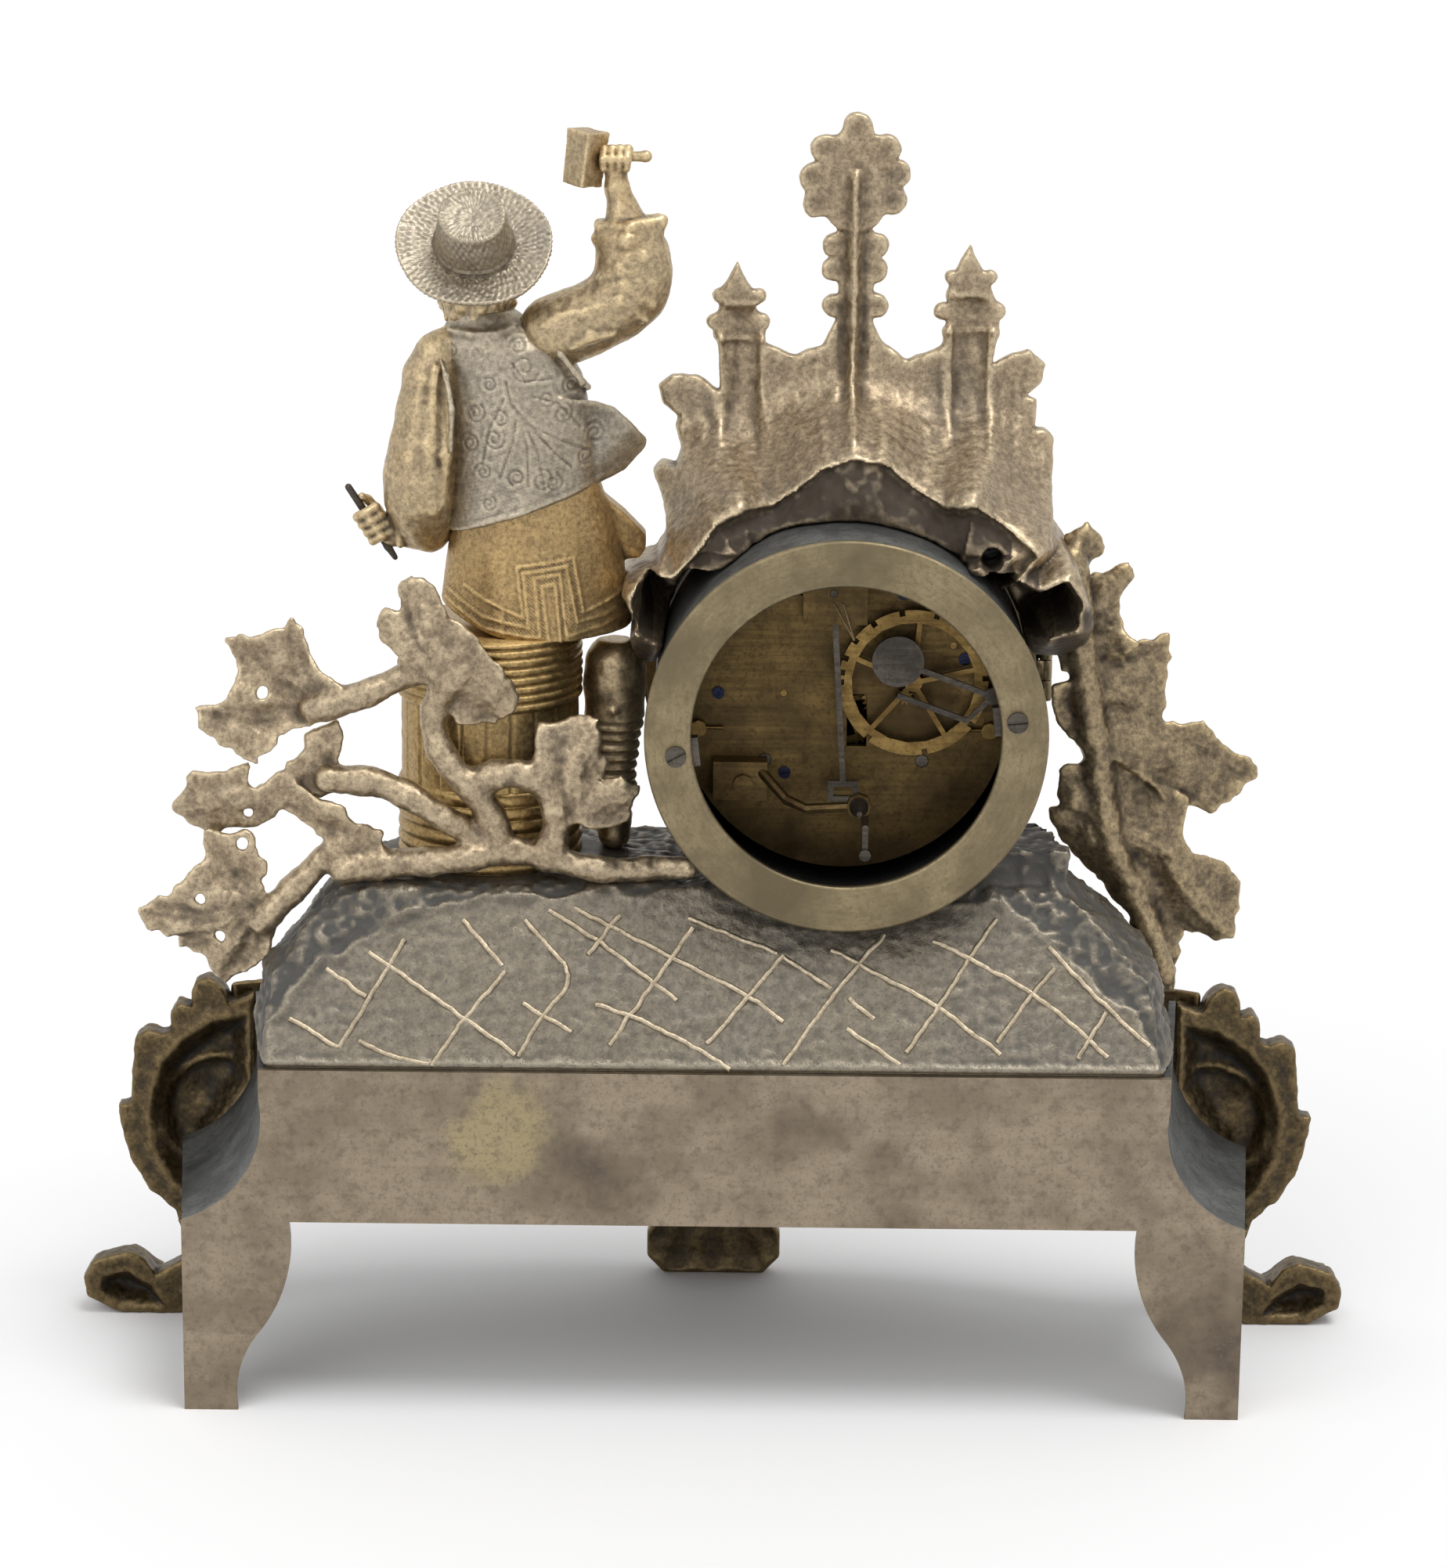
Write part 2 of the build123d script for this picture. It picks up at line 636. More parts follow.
SADDLE_RADIUS = DRUM_RADIUS + FACADE_COLLAR
with BuildPart() as rock_hollow:
    rock_levels(MOUND_WALL, MOUND_TOP_Z - MOUND_WALL)
    with BuildSketch(on_axis(REAR_Y)):
        Circle(SADDLE_RADIUS + MOUND_WALL)
    extrude(amount=REAR_Y * 2, mode=Mode.SUBTRACT)
    dial_ledge(MOUND_LEDGE_Z - MOUND_WALL, LEDGE_Y + MOUND_WALL)

with BuildPart() as mound:
    rock_levels(0, MOUND_TOP_Z)
    for z, shares in ((MOUND_TOP_Z, ROCK_SHARES), (MOUND_TOP_Z + ROCK_HEIGHT, ROCK_TOP_SHARES)):
        with BuildSketch(Plane.XY.offset(z)):
            with BuildLine():
                Polyline(*[(PANEL_TOP_HALF * u, PANEL_TOP_HALF * v) for u, v in shares], close=True)
            make_face()
    loft(ruled=True)
    add(rock_hollow.part, mode=Mode.SUBTRACT)
    with BuildSketch(on_axis(REAR_Y)):
        Circle(DRUM_RADIUS + SEAT_GAP)
    extrude(amount=REAR_Y * 2, mode=Mode.SUBTRACT)
    with BuildSketch(on_axis(FACADE_BACK_Y + SEAT_GAP)):
        Circle(SADDLE_RADIUS + SEAT_GAP)
    extrude(amount=REAR_Y, mode=Mode.SUBTRACT)
    with BuildSketch(on_axis(DRUM_FRONT_Y + SEAT_GAP)):
        Circle(FRONT_RING_RADIUS + SEAT_GAP)
    extrude(amount=REAR_Y, mode=Mode.SUBTRACT)
    dial_ledge(MOUND_LEDGE_Z, LEDGE_Y)
finish(mound, "mound")


# Arch front, from the drum's axis
FACADE_SHARES = (
    (0.46, 0.13), (0.52, 0.07), (0.58, 0.08), (0.60, 0.14), (0.60, 0.20), (0.58, 0.24),
    (0.62, 0.32), (0.61, 0.35), (0.53, 0.38), (0.51, 0.41), (0.50, 0.48), (0.52, 0.55),
    (0.54, 0.60), (0.52, 0.63), (0.48, 0.62), (0.46, 0.67), (0.48, 0.73), (0.47, 0.75),
    (0.52, 0.79), (0.53, 0.84), (0.49, 0.87), (0.42, 0.87), (0.36, 0.83), (0.36, 0.95),
    (0.38, 1.02), (0.36, 1.06), (0.37, 1.09), (0.35, 1.12), (0.31, 1.19), (0.27, 1.12),
    (0.25, 1.09), (0.26, 1.06), (0.23, 1.02), (0.23, 0.96), (0.14, 0.93), (0.07, 0.96),
    (0.03, 1.03), (0.03, 1.28), (-0.07, 1.28), (-0.07, 1.03), (-0.10, 0.97), (-0.17, 0.92),
    (-0.27, 0.96), (-0.27, 1.00), (-0.29, 1.05), (-0.27, 1.10), (-0.29, 1.15), (-0.34, 1.25),
    (-0.39, 1.15), (-0.41, 1.10), (-0.43, 1.06), (-0.42, 1.00), (-0.41, 0.91), (-0.46, 0.94),
    (-0.51, 0.95), (-0.56, 0.91), (-0.55, 0.86), (-0.50, 0.82), (-0.54, 0.81), (-0.53, 0.73),
    (-0.56, 0.73), (-0.59, 0.70), (-0.58, 0.60), (-0.58, 0.48), (-0.64, 0.40), (-0.68, 0.29),
    (-0.70, 0.22), (-0.68, 0.14), (-0.62, 0.10), (-0.53, 0.11), (-0.52, 0.14),
)
FINIAL_LOBE_SHARES = (
    (-0.02, 1.57), (0.07, 1.51), (-0.10, 1.51), (0.10, 1.43), (-0.13, 1.44), (0.09, 1.36),
    (-0.12, 1.37),
)
CROCKET_SHARES = (
    (0.04, 1.24), (-0.08, 1.24), (0.04, 1.17), (-0.08, 1.17), (0.04, 1.07), (-0.08, 1.07),
)
GABLE_SHARES = ((-0.02, 0.9), (-0.27, 0.62), (-0.23, 0.58), (-0.02, 0.82), (0.19, 0.58), (0.23, 0.62))
TURRET_SHARES = (0.295, -0.345)
TURRET_MIDDLE_SHARE = 0.78
TURRET_SPAN_SHARES = (0.11, 0.34)
PIERCING_SHARES = (-0.4, 0.44)
FINIAL_CORE_SHARES = (-0.015, 1.42)
FINIAL_HALF_WIDTH = 10.4
FINIAL_HALF_HEIGHT = 16.0
LOBE_RADIUS = 4.0
CROCKET_RADIUS = 3.2
PIERCING_RADIUS = 3.0


def drum_hole(reach=REAR_Y):
    """Clear the drum's place, with its seating gap, through a carved piece."""
    with BuildSketch(on_axis(reach)) as hole:
        Circle(DRUM_RADIUS + SEAT_GAP)
    extrude(to_extrude=hole.sketch, amount=reach * 2, mode=Mode.SUBTRACT)


with BuildPart() as facade:
    with BuildSketch(on_axis(FACADE_BACK_Y)):
        with BuildLine():
            Polyline(*carved(FACADE_SHARES), close=True)
        make_face()
        with Locations(*carved(FINIAL_LOBE_SHARES)):
            bar(LOBE_RADIUS)
        with Locations(*carved(CROCKET_SHARES)):
            bar(CROCKET_RADIUS)
        with Locations(*carved((FINIAL_CORE_SHARES,))):
            Ellipse(FINIAL_HALF_WIDTH, FINIAL_HALF_HEIGHT)
        Circle(SADDLE_RADIUS)
        with Locations(*carved((PIERCING_SHARES,))):
            bar(PIERCING_RADIUS, mode=Mode.SUBTRACT)
    extrude(amount=FACADE_THICKNESS)
    with BuildSketch(on_axis(FACADE_BACK_Y - FACADE_THICKNESS)):
        with BuildLine():
            Polyline(*carved(GABLE_SHARES), close=True)
        make_face()
        for u in TURRET_SHARES:
            with Locations(*carved(((u, TURRET_MIDDLE_SHARE),))):
                Rectangle(CARVING * TURRET_SPAN_SHARES[0], CARVING * TURRET_SPAN_SHARES[1])
    extrude(amount=FACADE_RELIEF)
    drum_hole()
finish(facade, "facade")

CANOPY_FOOT_SHARES = (
    (0.53, 0.12), (0.59, 0.14), (0.59, 0.32), (0.54, 0.4), (0.51, 0.46), (0.51, 0.56), (0.48, 0.66),
    (0.4, 0.75), (0.29, 0.8), (0.19, 0.82), (0.09, 0.84), (-0.015, 0.85), (-0.12, 0.84), (-0.22, 0.82),
    (-0.32, 0.8), (-0.43, 0.76), (-0.51, 0.69), (-0.57, 0.6), (-0.58, 0.5), (-0.61, 0.43), (-0.65, 0.38),
    (-0.68, 0.3), (-0.69, 0.2), (-0.6, 0.12),
)
CANOPY_RIM_SHARES = (
    (0.52, 0.18), (0.575, 0.22), (0.59, 0.315), (0.56, 0.39), (0.48, 0.38), (0.4, 0.45), (0.355, 0.49),
    (0.28, 0.495), (0.2, 0.475), (0.135, 0.535), (0.07, 0.6), (-0.015, 0.63), (-0.1, 0.62), (-0.175, 0.545),
    (-0.26, 0.485), (-0.345, 0.525), (-0.44, 0.505), (-0.52, 0.455), (-0.475, 0.39), (-0.535, 0.355),
    (-0.61, 0.385), (-0.655, 0.32), (-0.645, 0.24), (-0.57, 0.21),
)
CANOPY_INNER_SHARES = (
    (0.5, 0.2), (0.54, 0.24), (0.55, 0.3), (0.53, 0.35), (0.46, 0.345), (0.38, 0.43), (0.33, 0.49),
    (0.27, 0.525), (0.2, 0.525), (0.12, 0.575), (0.06, 0.63), (-0.015, 0.66), (-0.09, 0.645),
    (-0.165, 0.585), (-0.26, 0.535), (-0.34, 0.545), (-0.42, 0.49), (-0.48, 0.44), (-0.43, 0.385),
    (-0.52, 0.32), (-0.59, 0.345), (-0.62, 0.31), (-0.61, 0.26), (-0.54, 0.24),
)
CANOPY_EDGE_SHARES = (
    (0.62, 0.235), (0.47, 0.235), (0.4, 0.22), (0.36, 0.19), (0.286, 0.15), (0.21, 0.13), (-0.27, 0.13),
    (-0.35, 0.15), (-0.45, 0.19), (-0.52, 0.23), (-0.7, 0.23),
)


def canopy_level(y, shares):
    """One level of the leafy hood, in plan with the dial, at depth y."""
    with BuildSketch(on_axis(y)) as level:
        with BuildLine():
            Polyline(*carved(shares), close=True)
        make_face()
    return level.sketch


with BuildPart() as hood_block:
    foot = canopy_level(FACADE_BACK_Y, CANOPY_FOOT_SHARES)
    rim = canopy_level(CANOPY_REAR_Y, CANOPY_RIM_SHARES)
    loft(sections=[foot, rim], ruled=True)

with BuildPart() as canopy:
    add(hood_block.part)
    extrude(to_extrude=canopy_level(CANOPY_REAR_Y, CANOPY_INNER_SHARES),
            amount=CANOPY_REAR_Y - FACADE_BACK_Y - CANOPY_FLOOR, mode=Mode.SUBTRACT)
    with BuildSketch(Plane.XY.offset(AXIS_Z)):
        with BuildLine():
            ends = [(AXIS_X + side * CARVING, CANOPY_REAR_Y + CARVING) for side in (-1, 1)]
            edge = carved(CANOPY_EDGE_SHARES, AXIS_X)
            Polyline(*edge, (ends[0][0], edge[-1][1]), ends[0], ends[1], (ends[1][0], edge[0][1]), close=True)
        make_face()
    extrude(amount=CARVING, mode=Mode.SUBTRACT)
    drum_hole()
    with BuildSketch(on_axis(CANOPY_REAR_Y)):
        with Locations(*carved((PIERCING_SHARES,))):
            bar(PIERCING_RADIUS)
    extrude(amount=CARVING, mode=Mode.SUBTRACT)
finish(canopy, "canopy")

# Vine branches, from the middle of the base and the mound's top
LEFT_LEAF_SHARES = (
    (
        (0.92, 0.68), (0.94, 0.72), (0.92, 0.77), (0.88, 0.77), (0.88, 0.83), (0.85, 0.87),
        (0.82, 0.86), (0.78, 0.83), (0.74, 0.75), (0.69, 0.72), (0.66, 0.68), (0.59, 0.60),
        (0.56, 0.53), (0.57, 0.48), (0.62, 0.44), (0.72, 0.45), (0.78, 0.53), (0.84, 0.59),
    ),
    (
        (1.36, 0.68), (1.22, 0.70), (1.18, 0.73), (1.15, 0.70), (1.13, 0.63), (1.10, 0.59),
        (1.04, 0.56), (1.07, 0.49), (1.14, 0.44), (1.22, 0.41), (1.22, 0.38), (1.29, 0.34),
        (1.34, 0.36), (1.40, 0.41), (1.44, 0.44), (1.45, 0.49), (1.37, 0.50), (1.32, 0.59),
    ),
    (
        (1.46, 0.30), (1.38, 0.30), (1.30, 0.33), (1.30, 0.27), (1.28, 0.25), (1.15, 0.36),
        (1.14, 0.41), (1.06, 0.45), (1.04, 0.42), (1.07, 0.31), (1.07, 0.25), (1.20, 0.21),
        (1.28, 0.13), (1.37, 0.13), (1.43, 0.11), (1.52, 0.18), (1.52, 0.20),
    ),
    (
        (1.43, 0.13), (1.42, 0.06), (1.51, -0.04), (1.61, -0.10), (1.59, -0.15), (1.51, -0.18),
        (1.50, -0.21), (1.43, -0.24), (1.38, -0.33), (1.31, -0.26), (1.26, -0.23), (1.24, -0.17),
        (1.27, -0.05), (1.26, 0.05), (1.30, 0.13),
    ),
    (
        (0.50, 0.45), (0.45, 0.44), (0.41, 0.47), (0.33, 0.47), (0.33, 0.37), (0.30, 0.34),
        (0.33, 0.29), (0.27, 0.31), (0.22, 0.27), (0.25, 0.17), (0.34, 0.15), (0.45, 0.19),
        (0.52, 0.28),
    ),
    (
        (1.28, 0.25), (1.20, 0.29), (1.12, 0.24), (1.05, 0.22), (1.00, 0.16), (0.93, 0.13),
        (0.95, 0.07), (1.04, 0.09), (1.12, 0.13), (1.20, 0.19),
    ),
)
LEFT_STEM_SHARES = (
    (
        (1.12, 0.49), (0.98, 0.53), (0.80, 0.61),
    ),
    (
        (1.27, -0.12), (1.14, 0.01), (1.04, 0.11),
    ),
    (
        (1.04, 0.03), (0.80, 0.05), (0.58, 0.09), (0.30, 0.03), (0.08, 0.04),
    ),
    (
        (1.08, 0.29), (0.90, 0.27), (0.74, 0.17), (0.62, 0.08),
    ),
    (
        (0.60, 0.10), (0.66, 0.25), (0.78, 0.37), (0.80, 0.51), (0.72, 0.59),
    ),
    (
        (0.48, 0.06), (0.44, 0.15), (0.46, 0.25),
    ),
    (
        (0.66, 0.29), (0.56, 0.33), (0.48, 0.29), (0.44, 0.19),
    ),
)
RIGHT_LEAF_SHARES = (
    (
        (-0.94, 0.63), (-0.97, 0.79), (-0.97, 0.91), (-1.03, 0.95), (-1.08, 0.91), (-1.08, 0.86),
        (-1.03, 0.83), (-1.04, 0.80), (-1.15, 0.84), (-1.17, 0.80), (-1.13, 0.74), (-1.14, 0.66),
        (-1.18, 0.61), (-1.12, 0.53), (-1.04, 0.51), (-0.97, 0.53),
    ),
    (
        (-1.18, 0.61), (-1.27, 0.64), (-1.28, 0.57), (-1.26, 0.46), (-1.26, 0.39), (-1.30, 0.37),
        (-1.38, 0.39), (-1.44, 0.31), (-1.52, 0.26), (-1.54, 0.21), (-1.41, 0.10), (-1.36, 0.12),
        (-1.26, 0.16), (-1.16, 0.25), (-1.08, 0.29), (-1.00, 0.33), (-0.94, 0.43), (-0.95, 0.49),
        (-1.04, 0.53),
    ),
    (
        (-0.93, 0.13), (-0.97, 0.14), (-0.97, 0.24), (-1.04, 0.25), (-1.11, 0.29), (-1.22, 0.21),
        (-1.34, 0.15), (-1.33, 0.01), (-1.46, -0.05), (-1.51, -0.12), (-1.49, -0.27), (-1.44, -0.28),
        (-1.34, -0.24), (-1.33, -0.39), (-1.29, -0.46), (-1.26, -0.40), (-1.21, -0.32), (-1.19, -0.20),
        (-1.11, -0.11), (-1.01, 0.00),
    ),
)
STEM_WIDTHS = (7.0, 6.0, 5.0, 5.0, 6.0)

with BuildPart() as vine_left:
    with BuildSketch(facing(VINE_LEFT_Y)):
        for leaf in LEFT_LEAF_SHARES:
            with BuildLine():
                Polyline(*carved(leaf, z=MOUND_TOP_Z), close=True)
            make_face()
        for stem in LEFT_STEM_SHARES:
            with BuildLine():
                Polyline(*ribbon(carved(stem, z=MOUND_TOP_Z), STEM_WIDTHS), close=True)
            make_face()
    extrude(amount=VINE_THICKNESS)
    add(mound.part, mode=Mode.SUBTRACT)
    drum_hole()
finish(vine_left, "vine_left")

with BuildPart() as vine_right:
    with BuildSketch(facing(VINE_RIGHT_Y)):
        for leaf in RIGHT_LEAF_SHARES:
            with BuildLine():
                Polyline(*carved(leaf, z=MOUND_TOP_Z), close=True)
            make_face()
    extrude(amount=VINE_THICKNESS)
    add(mound.part, mode=Mode.SUBTRACT)
    add(hood_block.part, mode=Mode.SUBTRACT)
    drum_hole()
finish(vine_right, "vine_right")


# Figure. Its tables give places, and then half sizes, as shares of CARVING from the cask's foot.
CASK_SHARES = ((0.0, 1.0), (0.22, 1.0), (0.24, 0.95), (0.66, 0.93), (0.7, 1.0), (1.0, 0.97))
SEAT_SHARE = 0.6
SKIRT_SHARES = (
    (0.6, -0.13, 0.0, 0.27, 0.2), (0.72, -0.13, 0.0, 0.27, 0.19), (0.88, -0.12, 0.0, 0.25, 0.16),
    (1.06, -0.105, 0.0, 0.2, 0.125),
)
JACKET_SHARES = (
    (1.06, -0.11, 0.01, 0.215, 0.145), (1.15, -0.1, 0.0, 0.19, 0.12), (1.34, -0.08, -0.01, 0.21, 0.14),
    (1.46, -0.05, -0.01, 0.17, 0.11), (1.54, 0.015, -0.02, 0.08, 0.07), (1.57, 0.03, -0.02, 0.06, 0.06),
)
HEAD_PLACE_SHARES = (0.035, -0.05, 1.64)
LEFT_ARM_SHARES = (
    (0.09, 0.0, 1.42, 0.08), (0.2, 0.01, 1.36, 0.085), (0.245, 0.02, 1.16, 0.095), (0.22, 0.01, 1.0, 0.08),
    (0.24, 0.0, 0.935, 0.05), (0.3, -0.01, 0.93, 0.05), (0.37, -0.02, 0.965, 0.035),
)
RIGHT_ARM_SHARES = (
    (-0.2, 0.0, 1.46, 0.1), (-0.35, 0.01, 1.5, 0.085), (-0.43, 0.02, 1.58, 0.08),
    (-0.42, 0.02, 1.72, 0.07), (-0.36, 0.02, 1.8, 0.075), (-0.355, 0.01, 1.82, 0.035),
    (-0.35, 0.0, 1.9, 0.032), (-0.35, 0.0, 1.95, 0.045), (-0.345, 0.0, 2.01, 0.04),
)
RIGHT_LEG_SHARES = (
    (-0.35, -0.06, 0.0, 0.055), (-0.35, -0.06, 0.1, 0.05), (-0.35, -0.06, 0.3, 0.07),
    (-0.35, -0.06, 0.48, 0.085), (-0.35, -0.05, 0.6, 0.09),
)
LEFT_LEG_SHARES = (
    (-0.02, -0.33, 0.0, 0.05), (-0.02, -0.33, 0.1, 0.05), (-0.02, -0.335, 0.3, 0.06),
    (-0.02, -0.34, 0.6, 0.075),
)
SHOE_SHARES = ((-0.05, 0.05), (0.05, 0.05), (0.06, -0.1), (0.0, -0.16), (-0.06, -0.1))
SHOE_HEIGHT = 6.0
CHISEL_SHARES = ((0.394, 0.0, 1.053), (0.265, 0.0, 0.853))
HANDLE_SHARES = ((-0.22, 0.0, 1.985), (-0.41, 0.0, 1.985))
MALLET_SHARES = ((-0.22, 2.05), (-0.3, 2.06), (-0.325, 1.92), (-0.24, 1.89))
HEAD_LEVEL_SHARES = ((-1.0, 0.3), (-0.8, 0.6), (-0.35, 0.94), (0.2, 0.98), (0.7, 0.71), (1.0, 0.3))
OVAL_SIDES = 20
FIGURE_FOOT_Z = MOUND_TOP_Z + CASK_HEIGHT - CARVING * SEAT_SHARE


def figure_place(shares):
    """A place on the figure in the clock's frame. Below the seat, its height goes with the cask's."""
    u, w, v = shares
    height = FIGURE_FOOT_Z + CARVING * v if v > SEAT_SHARE else MOUND_TOP_Z + CASK_HEIGHT * v / SEAT_SHARE
    return Vector(FIGURE_X + CARVING * u, CARVING * w, height)


def oval_level(place, half_width, half_depth):
    """A level oval of few sides round a place."""
    turns = [2 * pi * i / OVAL_SIDES for i in range(OVAL_SIDES)]
    with BuildSketch(Plane(origin=place)) as level:
        with BuildLine():
            Polyline(*[(half_width * cos(turn), half_depth * sin(turn)) for turn in turns], close=True)
        make_face()
    return level.sketch


def tube(places, radii, sides):
    """A round bar of few sides that runs through places, with a radius at each."""
    rings = []
    for i, radius in enumerate(radii):
        ahead = places[min(i + 1, len(radii) - 1)] - places[max(i - 1, 0)]
        across = ahead.cross(Vector(0, 1, 0))
        with BuildSketch(Plane(origin=places[i], x_dir=across, z_dir=ahead)) as ring:
            RegularPolygon(radius, sides)
        rings.append(ring.sketch)
    loft(sections=rings, ruled=True)


def limb(rows):
    """A limb through the places in rows, with the last share of each as its radius."""
    tube([figure_place(row[:3]) for row in rows], [CARVING * row[3] for row in rows], LIMB_SIDES)


def trunk(rows):
    """A trunk of oval levels, each given as height, place and half sizes."""
    levels = []
    for z, x, y, half_width, half_depth in rows:
        levels.append(oval_level(figure_place((x, y, z)), CARVING * half_width, CARVING * half_depth))
    loft(sections=levels, ruled=True)


def rod(start, end, radius):
    """A straight round rod between two places."""
    with BuildSketch(Plane(origin=start, z_dir=end - start)) as section:
        bar(radius)
    extrude(to_extrude=section.sketch, amount=(end - start).length)


with BuildPart() as cask:
    with BuildSketch(Plane.XZ):
        with BuildLine():
            wall = [(FIGURE_X + CASK_RADIUS * r, MOUND_TOP_Z + CASK_HEIGHT * z) for z, r in CASK_SHARES]
            Polyline((FIGURE_X, MOUND_TOP_Z), *wall, (FIGURE_X, MOUND_TOP_Z + CASK_HEIGHT), close=True)
        make_face()
    revolve(axis=Axis((FIGURE_X, 0, 0), (0, 0, 1)))
finish(cask, "cask")

with BuildPart() as tunic:
    trunk(SKIRT_SHARES)
finish(tunic, "tunic")

with BuildPart() as jacket:
    trunk(JACKET_SHARES)
finish(jacket, "jacket")

with BuildPart() as hat:
    tilt = radians(HAT_TILT)
    hat_place = (FIGURE_X + HAT_X, HAT_Y, FIGURE_FOOT_Z + HAT_Z)
    hat_plane = Plane(origin=hat_place, x_dir=(1, 0, 0), z_dir=(0, sin(tilt), cos(tilt)))
    rise = Plane(origin=hat_plane.origin, x_dir=(1, 0, 0), z_dir=hat_plane.y_dir * -1)
    with BuildSketch(rise):
        with BuildLine():
            Polyline(
                (0, 0), (CROWN_FOOT_RADIUS, 0), (HAT_RADIUS, BRIM_DISH - BRIM_THICKNESS),
                (HAT_RADIUS, BRIM_DISH), (CROWN_FOOT_RADIUS, BRIM_THICKNESS), (CROWN_RADIUS, CROWN_HEIGHT),
                (0, CROWN_HEIGHT), close=True,
            )
        make_face()
    revolve(axis=Axis(hat_plane.origin, hat_plane.z_dir))
finish(hat, "hat")

with BuildPart() as head:
    levels = []
    for step, width in HEAD_LEVEL_SHARES:
        place = figure_place(HEAD_PLACE_SHARES) + Vector(0, 0, HEAD_HALF_HEIGHT * step)
        levels.append(oval_level(place, HEAD_HALF_WIDTH * width, HEAD_HALF_DEPTH * width))
    loft(sections=levels, ruled=True)
    add(hat.part, mode=Mode.SUBTRACT)
    add(jacket.part, mode=Mode.SUBTRACT)
finish(head, "head")

with BuildPart() as mallet:
    with BuildSketch(facing(MALLET_DEPTH / 2)):
        with BuildLine():
            Polyline(*carved(MALLET_SHARES, FIGURE_X, FIGURE_FOOT_Z), close=True)
        make_face()
    extrude(amount=MALLET_DEPTH)
    rod(*[figure_place(shares) for shares in HANDLE_SHARES], HANDLE_RADIUS)
finish(mallet, "mallet")

with BuildPart() as chisel:
    rod(*[figure_place(shares) for shares in CHISEL_SHARES], CHISEL_RADIUS)
finish(chisel, "chisel")

with BuildPart() as arm_left:
    limb(LEFT_ARM_SHARES)
    for piece in (jacket, tunic, chisel):
        add(piece.part, mode=Mode.SUBTRACT)
finish(arm_left, "arm_left")

with BuildPart() as arm_right:
    limb(RIGHT_ARM_SHARES)
    for piece in (jacket, mallet):
        add(piece.part, mode=Mode.SUBTRACT)
finish(arm_right, "arm_right")

with BuildPart() as legs:
    for rows in (RIGHT_LEG_SHARES, LEFT_LEG_SHARES):
        limb(rows)
        foot = figure_place(rows[0][:3])
        with BuildSketch(Plane(origin=foot)):
            with BuildLine():
                Polyline(*carved(SHOE_SHARES), close=True)
            make_face()
        extrude(amount=SHOE_HEIGHT)
    for piece in (cask, tunic, canopy):
        add(piece.part, mode=Mode.SUBTRACT)
finish(legs, "legs")


# Movement plates. Arbor places are pairs sideways and up from the drum's axis.
INNER_FRONT_Y = FRONT_PLATE_Y + PLATE_THICKNESS
INNER_BACK_Y = BACK_PLATE_Y - PLATE_THICKNESS
CENTER = (0, 0)
GOING_BARREL = (BARREL_U, BARREL_V)
STRIKE_BARREL = (-BARREL_U, BARREL_V)
SECOND = (SECOND_U, SECOND_V)
STRIKE_SECOND = (-SECOND_U, SECOND_V)
THIRD = (THIRD_U, THIRD_V)
ESCAPE = (ESCAPE_U, ESCAPE_V)
PALLET = (ESCAPE_U, PALLET_V)
PIN_WHEEL = (PIN_WHEEL_U, PIN_WHEEL_V)
FLY = (FLY_U, FLY_V)
COUNT = (COUNT_U, COUNT_V)
HAMMER = (HAMMER_U, HAMMER_V)
LEVER_POST = (LEVER_POST_U, LEVER_POST_V)
MINUTE = (MINUTE_WHEEL_U, MINUTE_WHEEL_V)


def apart(a, b):
    """Distance between two arbors."""
    return hypot(a[0] - b[0], a[1] - b[1])


def toward(a, b):
    """Angle in radians at which arbor b lies from arbor a."""
    return atan2(b[1] - a[1], b[0] - a[0])


def module_of(a, teeth_a, b, teeth_b):
    """The module with which two wheels of known teeth just span their centre distance."""
    return 2 * apart(a, b) / (teeth_a + teeth_b)


def toothed(teeth, module, phase):
    """Corner points of a toothed outline whose first tooth points at phase."""
    pitch_radius = teeth * module / 2
    tip = pitch_radius + ADDENDUM_SHARE * module
    root = pitch_radius - DEDENDUM_SHARE * module
    step = 2 * pi / teeth
    corners = []
    for i in range(teeth):
        angle = phase + i * step
        corners.append((tip * cos(angle), tip * sin(angle)))
        corners.append((root * cos(angle + step / 2), root * sin(angle + step / 2)))
    return corners


def gear(place, y_back, thickness, teeth, module, phase, crossed=True, spokes=5):
    """A wheel or pinion on the current part, with its first tooth at phase and its rear face at y_back."""
    with BuildSketch(on_axis(y_back, *place)) as outline:
        with BuildLine():
            Polyline(*toothed(teeth, module, phase), close=True)
        make_face()
    extrude(to_extrude=outline.sketch, amount=thickness)
    if crossed:
        rim = teeth * module / 2 - DEDENDUM_SHARE * module - WHEEL_RIM
        cross(place, y_back, thickness, rim, HUB_RADIUS, spokes, phase)


def cross(place, y_back, thickness, rim, hub, spokes, phase=0):
    """Cut the windows between the spokes of a wheel."""
    with BuildSketch(on_axis(y_back, *place)) as windows:
        RegularPolygon(rim, spokes * 4, rotation=degrees(phase))
        RegularPolygon(hub, spokes * 2, rotation=degrees(phase), mode=Mode.SUBTRACT)
        with PolarLocations(0, spokes, start_angle=degrees(phase)):
            with Locations((rim / 2, 0)):
                Rectangle(rim, SPOKE_WIDTH, mode=Mode.SUBTRACT)
    extrude(to_extrude=windows.sketch, amount=thickness, mode=Mode.SUBTRACT)


def disc(place, y_back, y_front, radius, mode=Mode.ADD, clear=False):
    """A round step, or with a subtracting mode a hole, between two depths."""
    with BuildSketch(on_axis(y_back, *place)) as circle:
        bar(radius, clear)
    extrude(to_extrude=circle.sketch, amount=y_back - y_front, mode=mode)


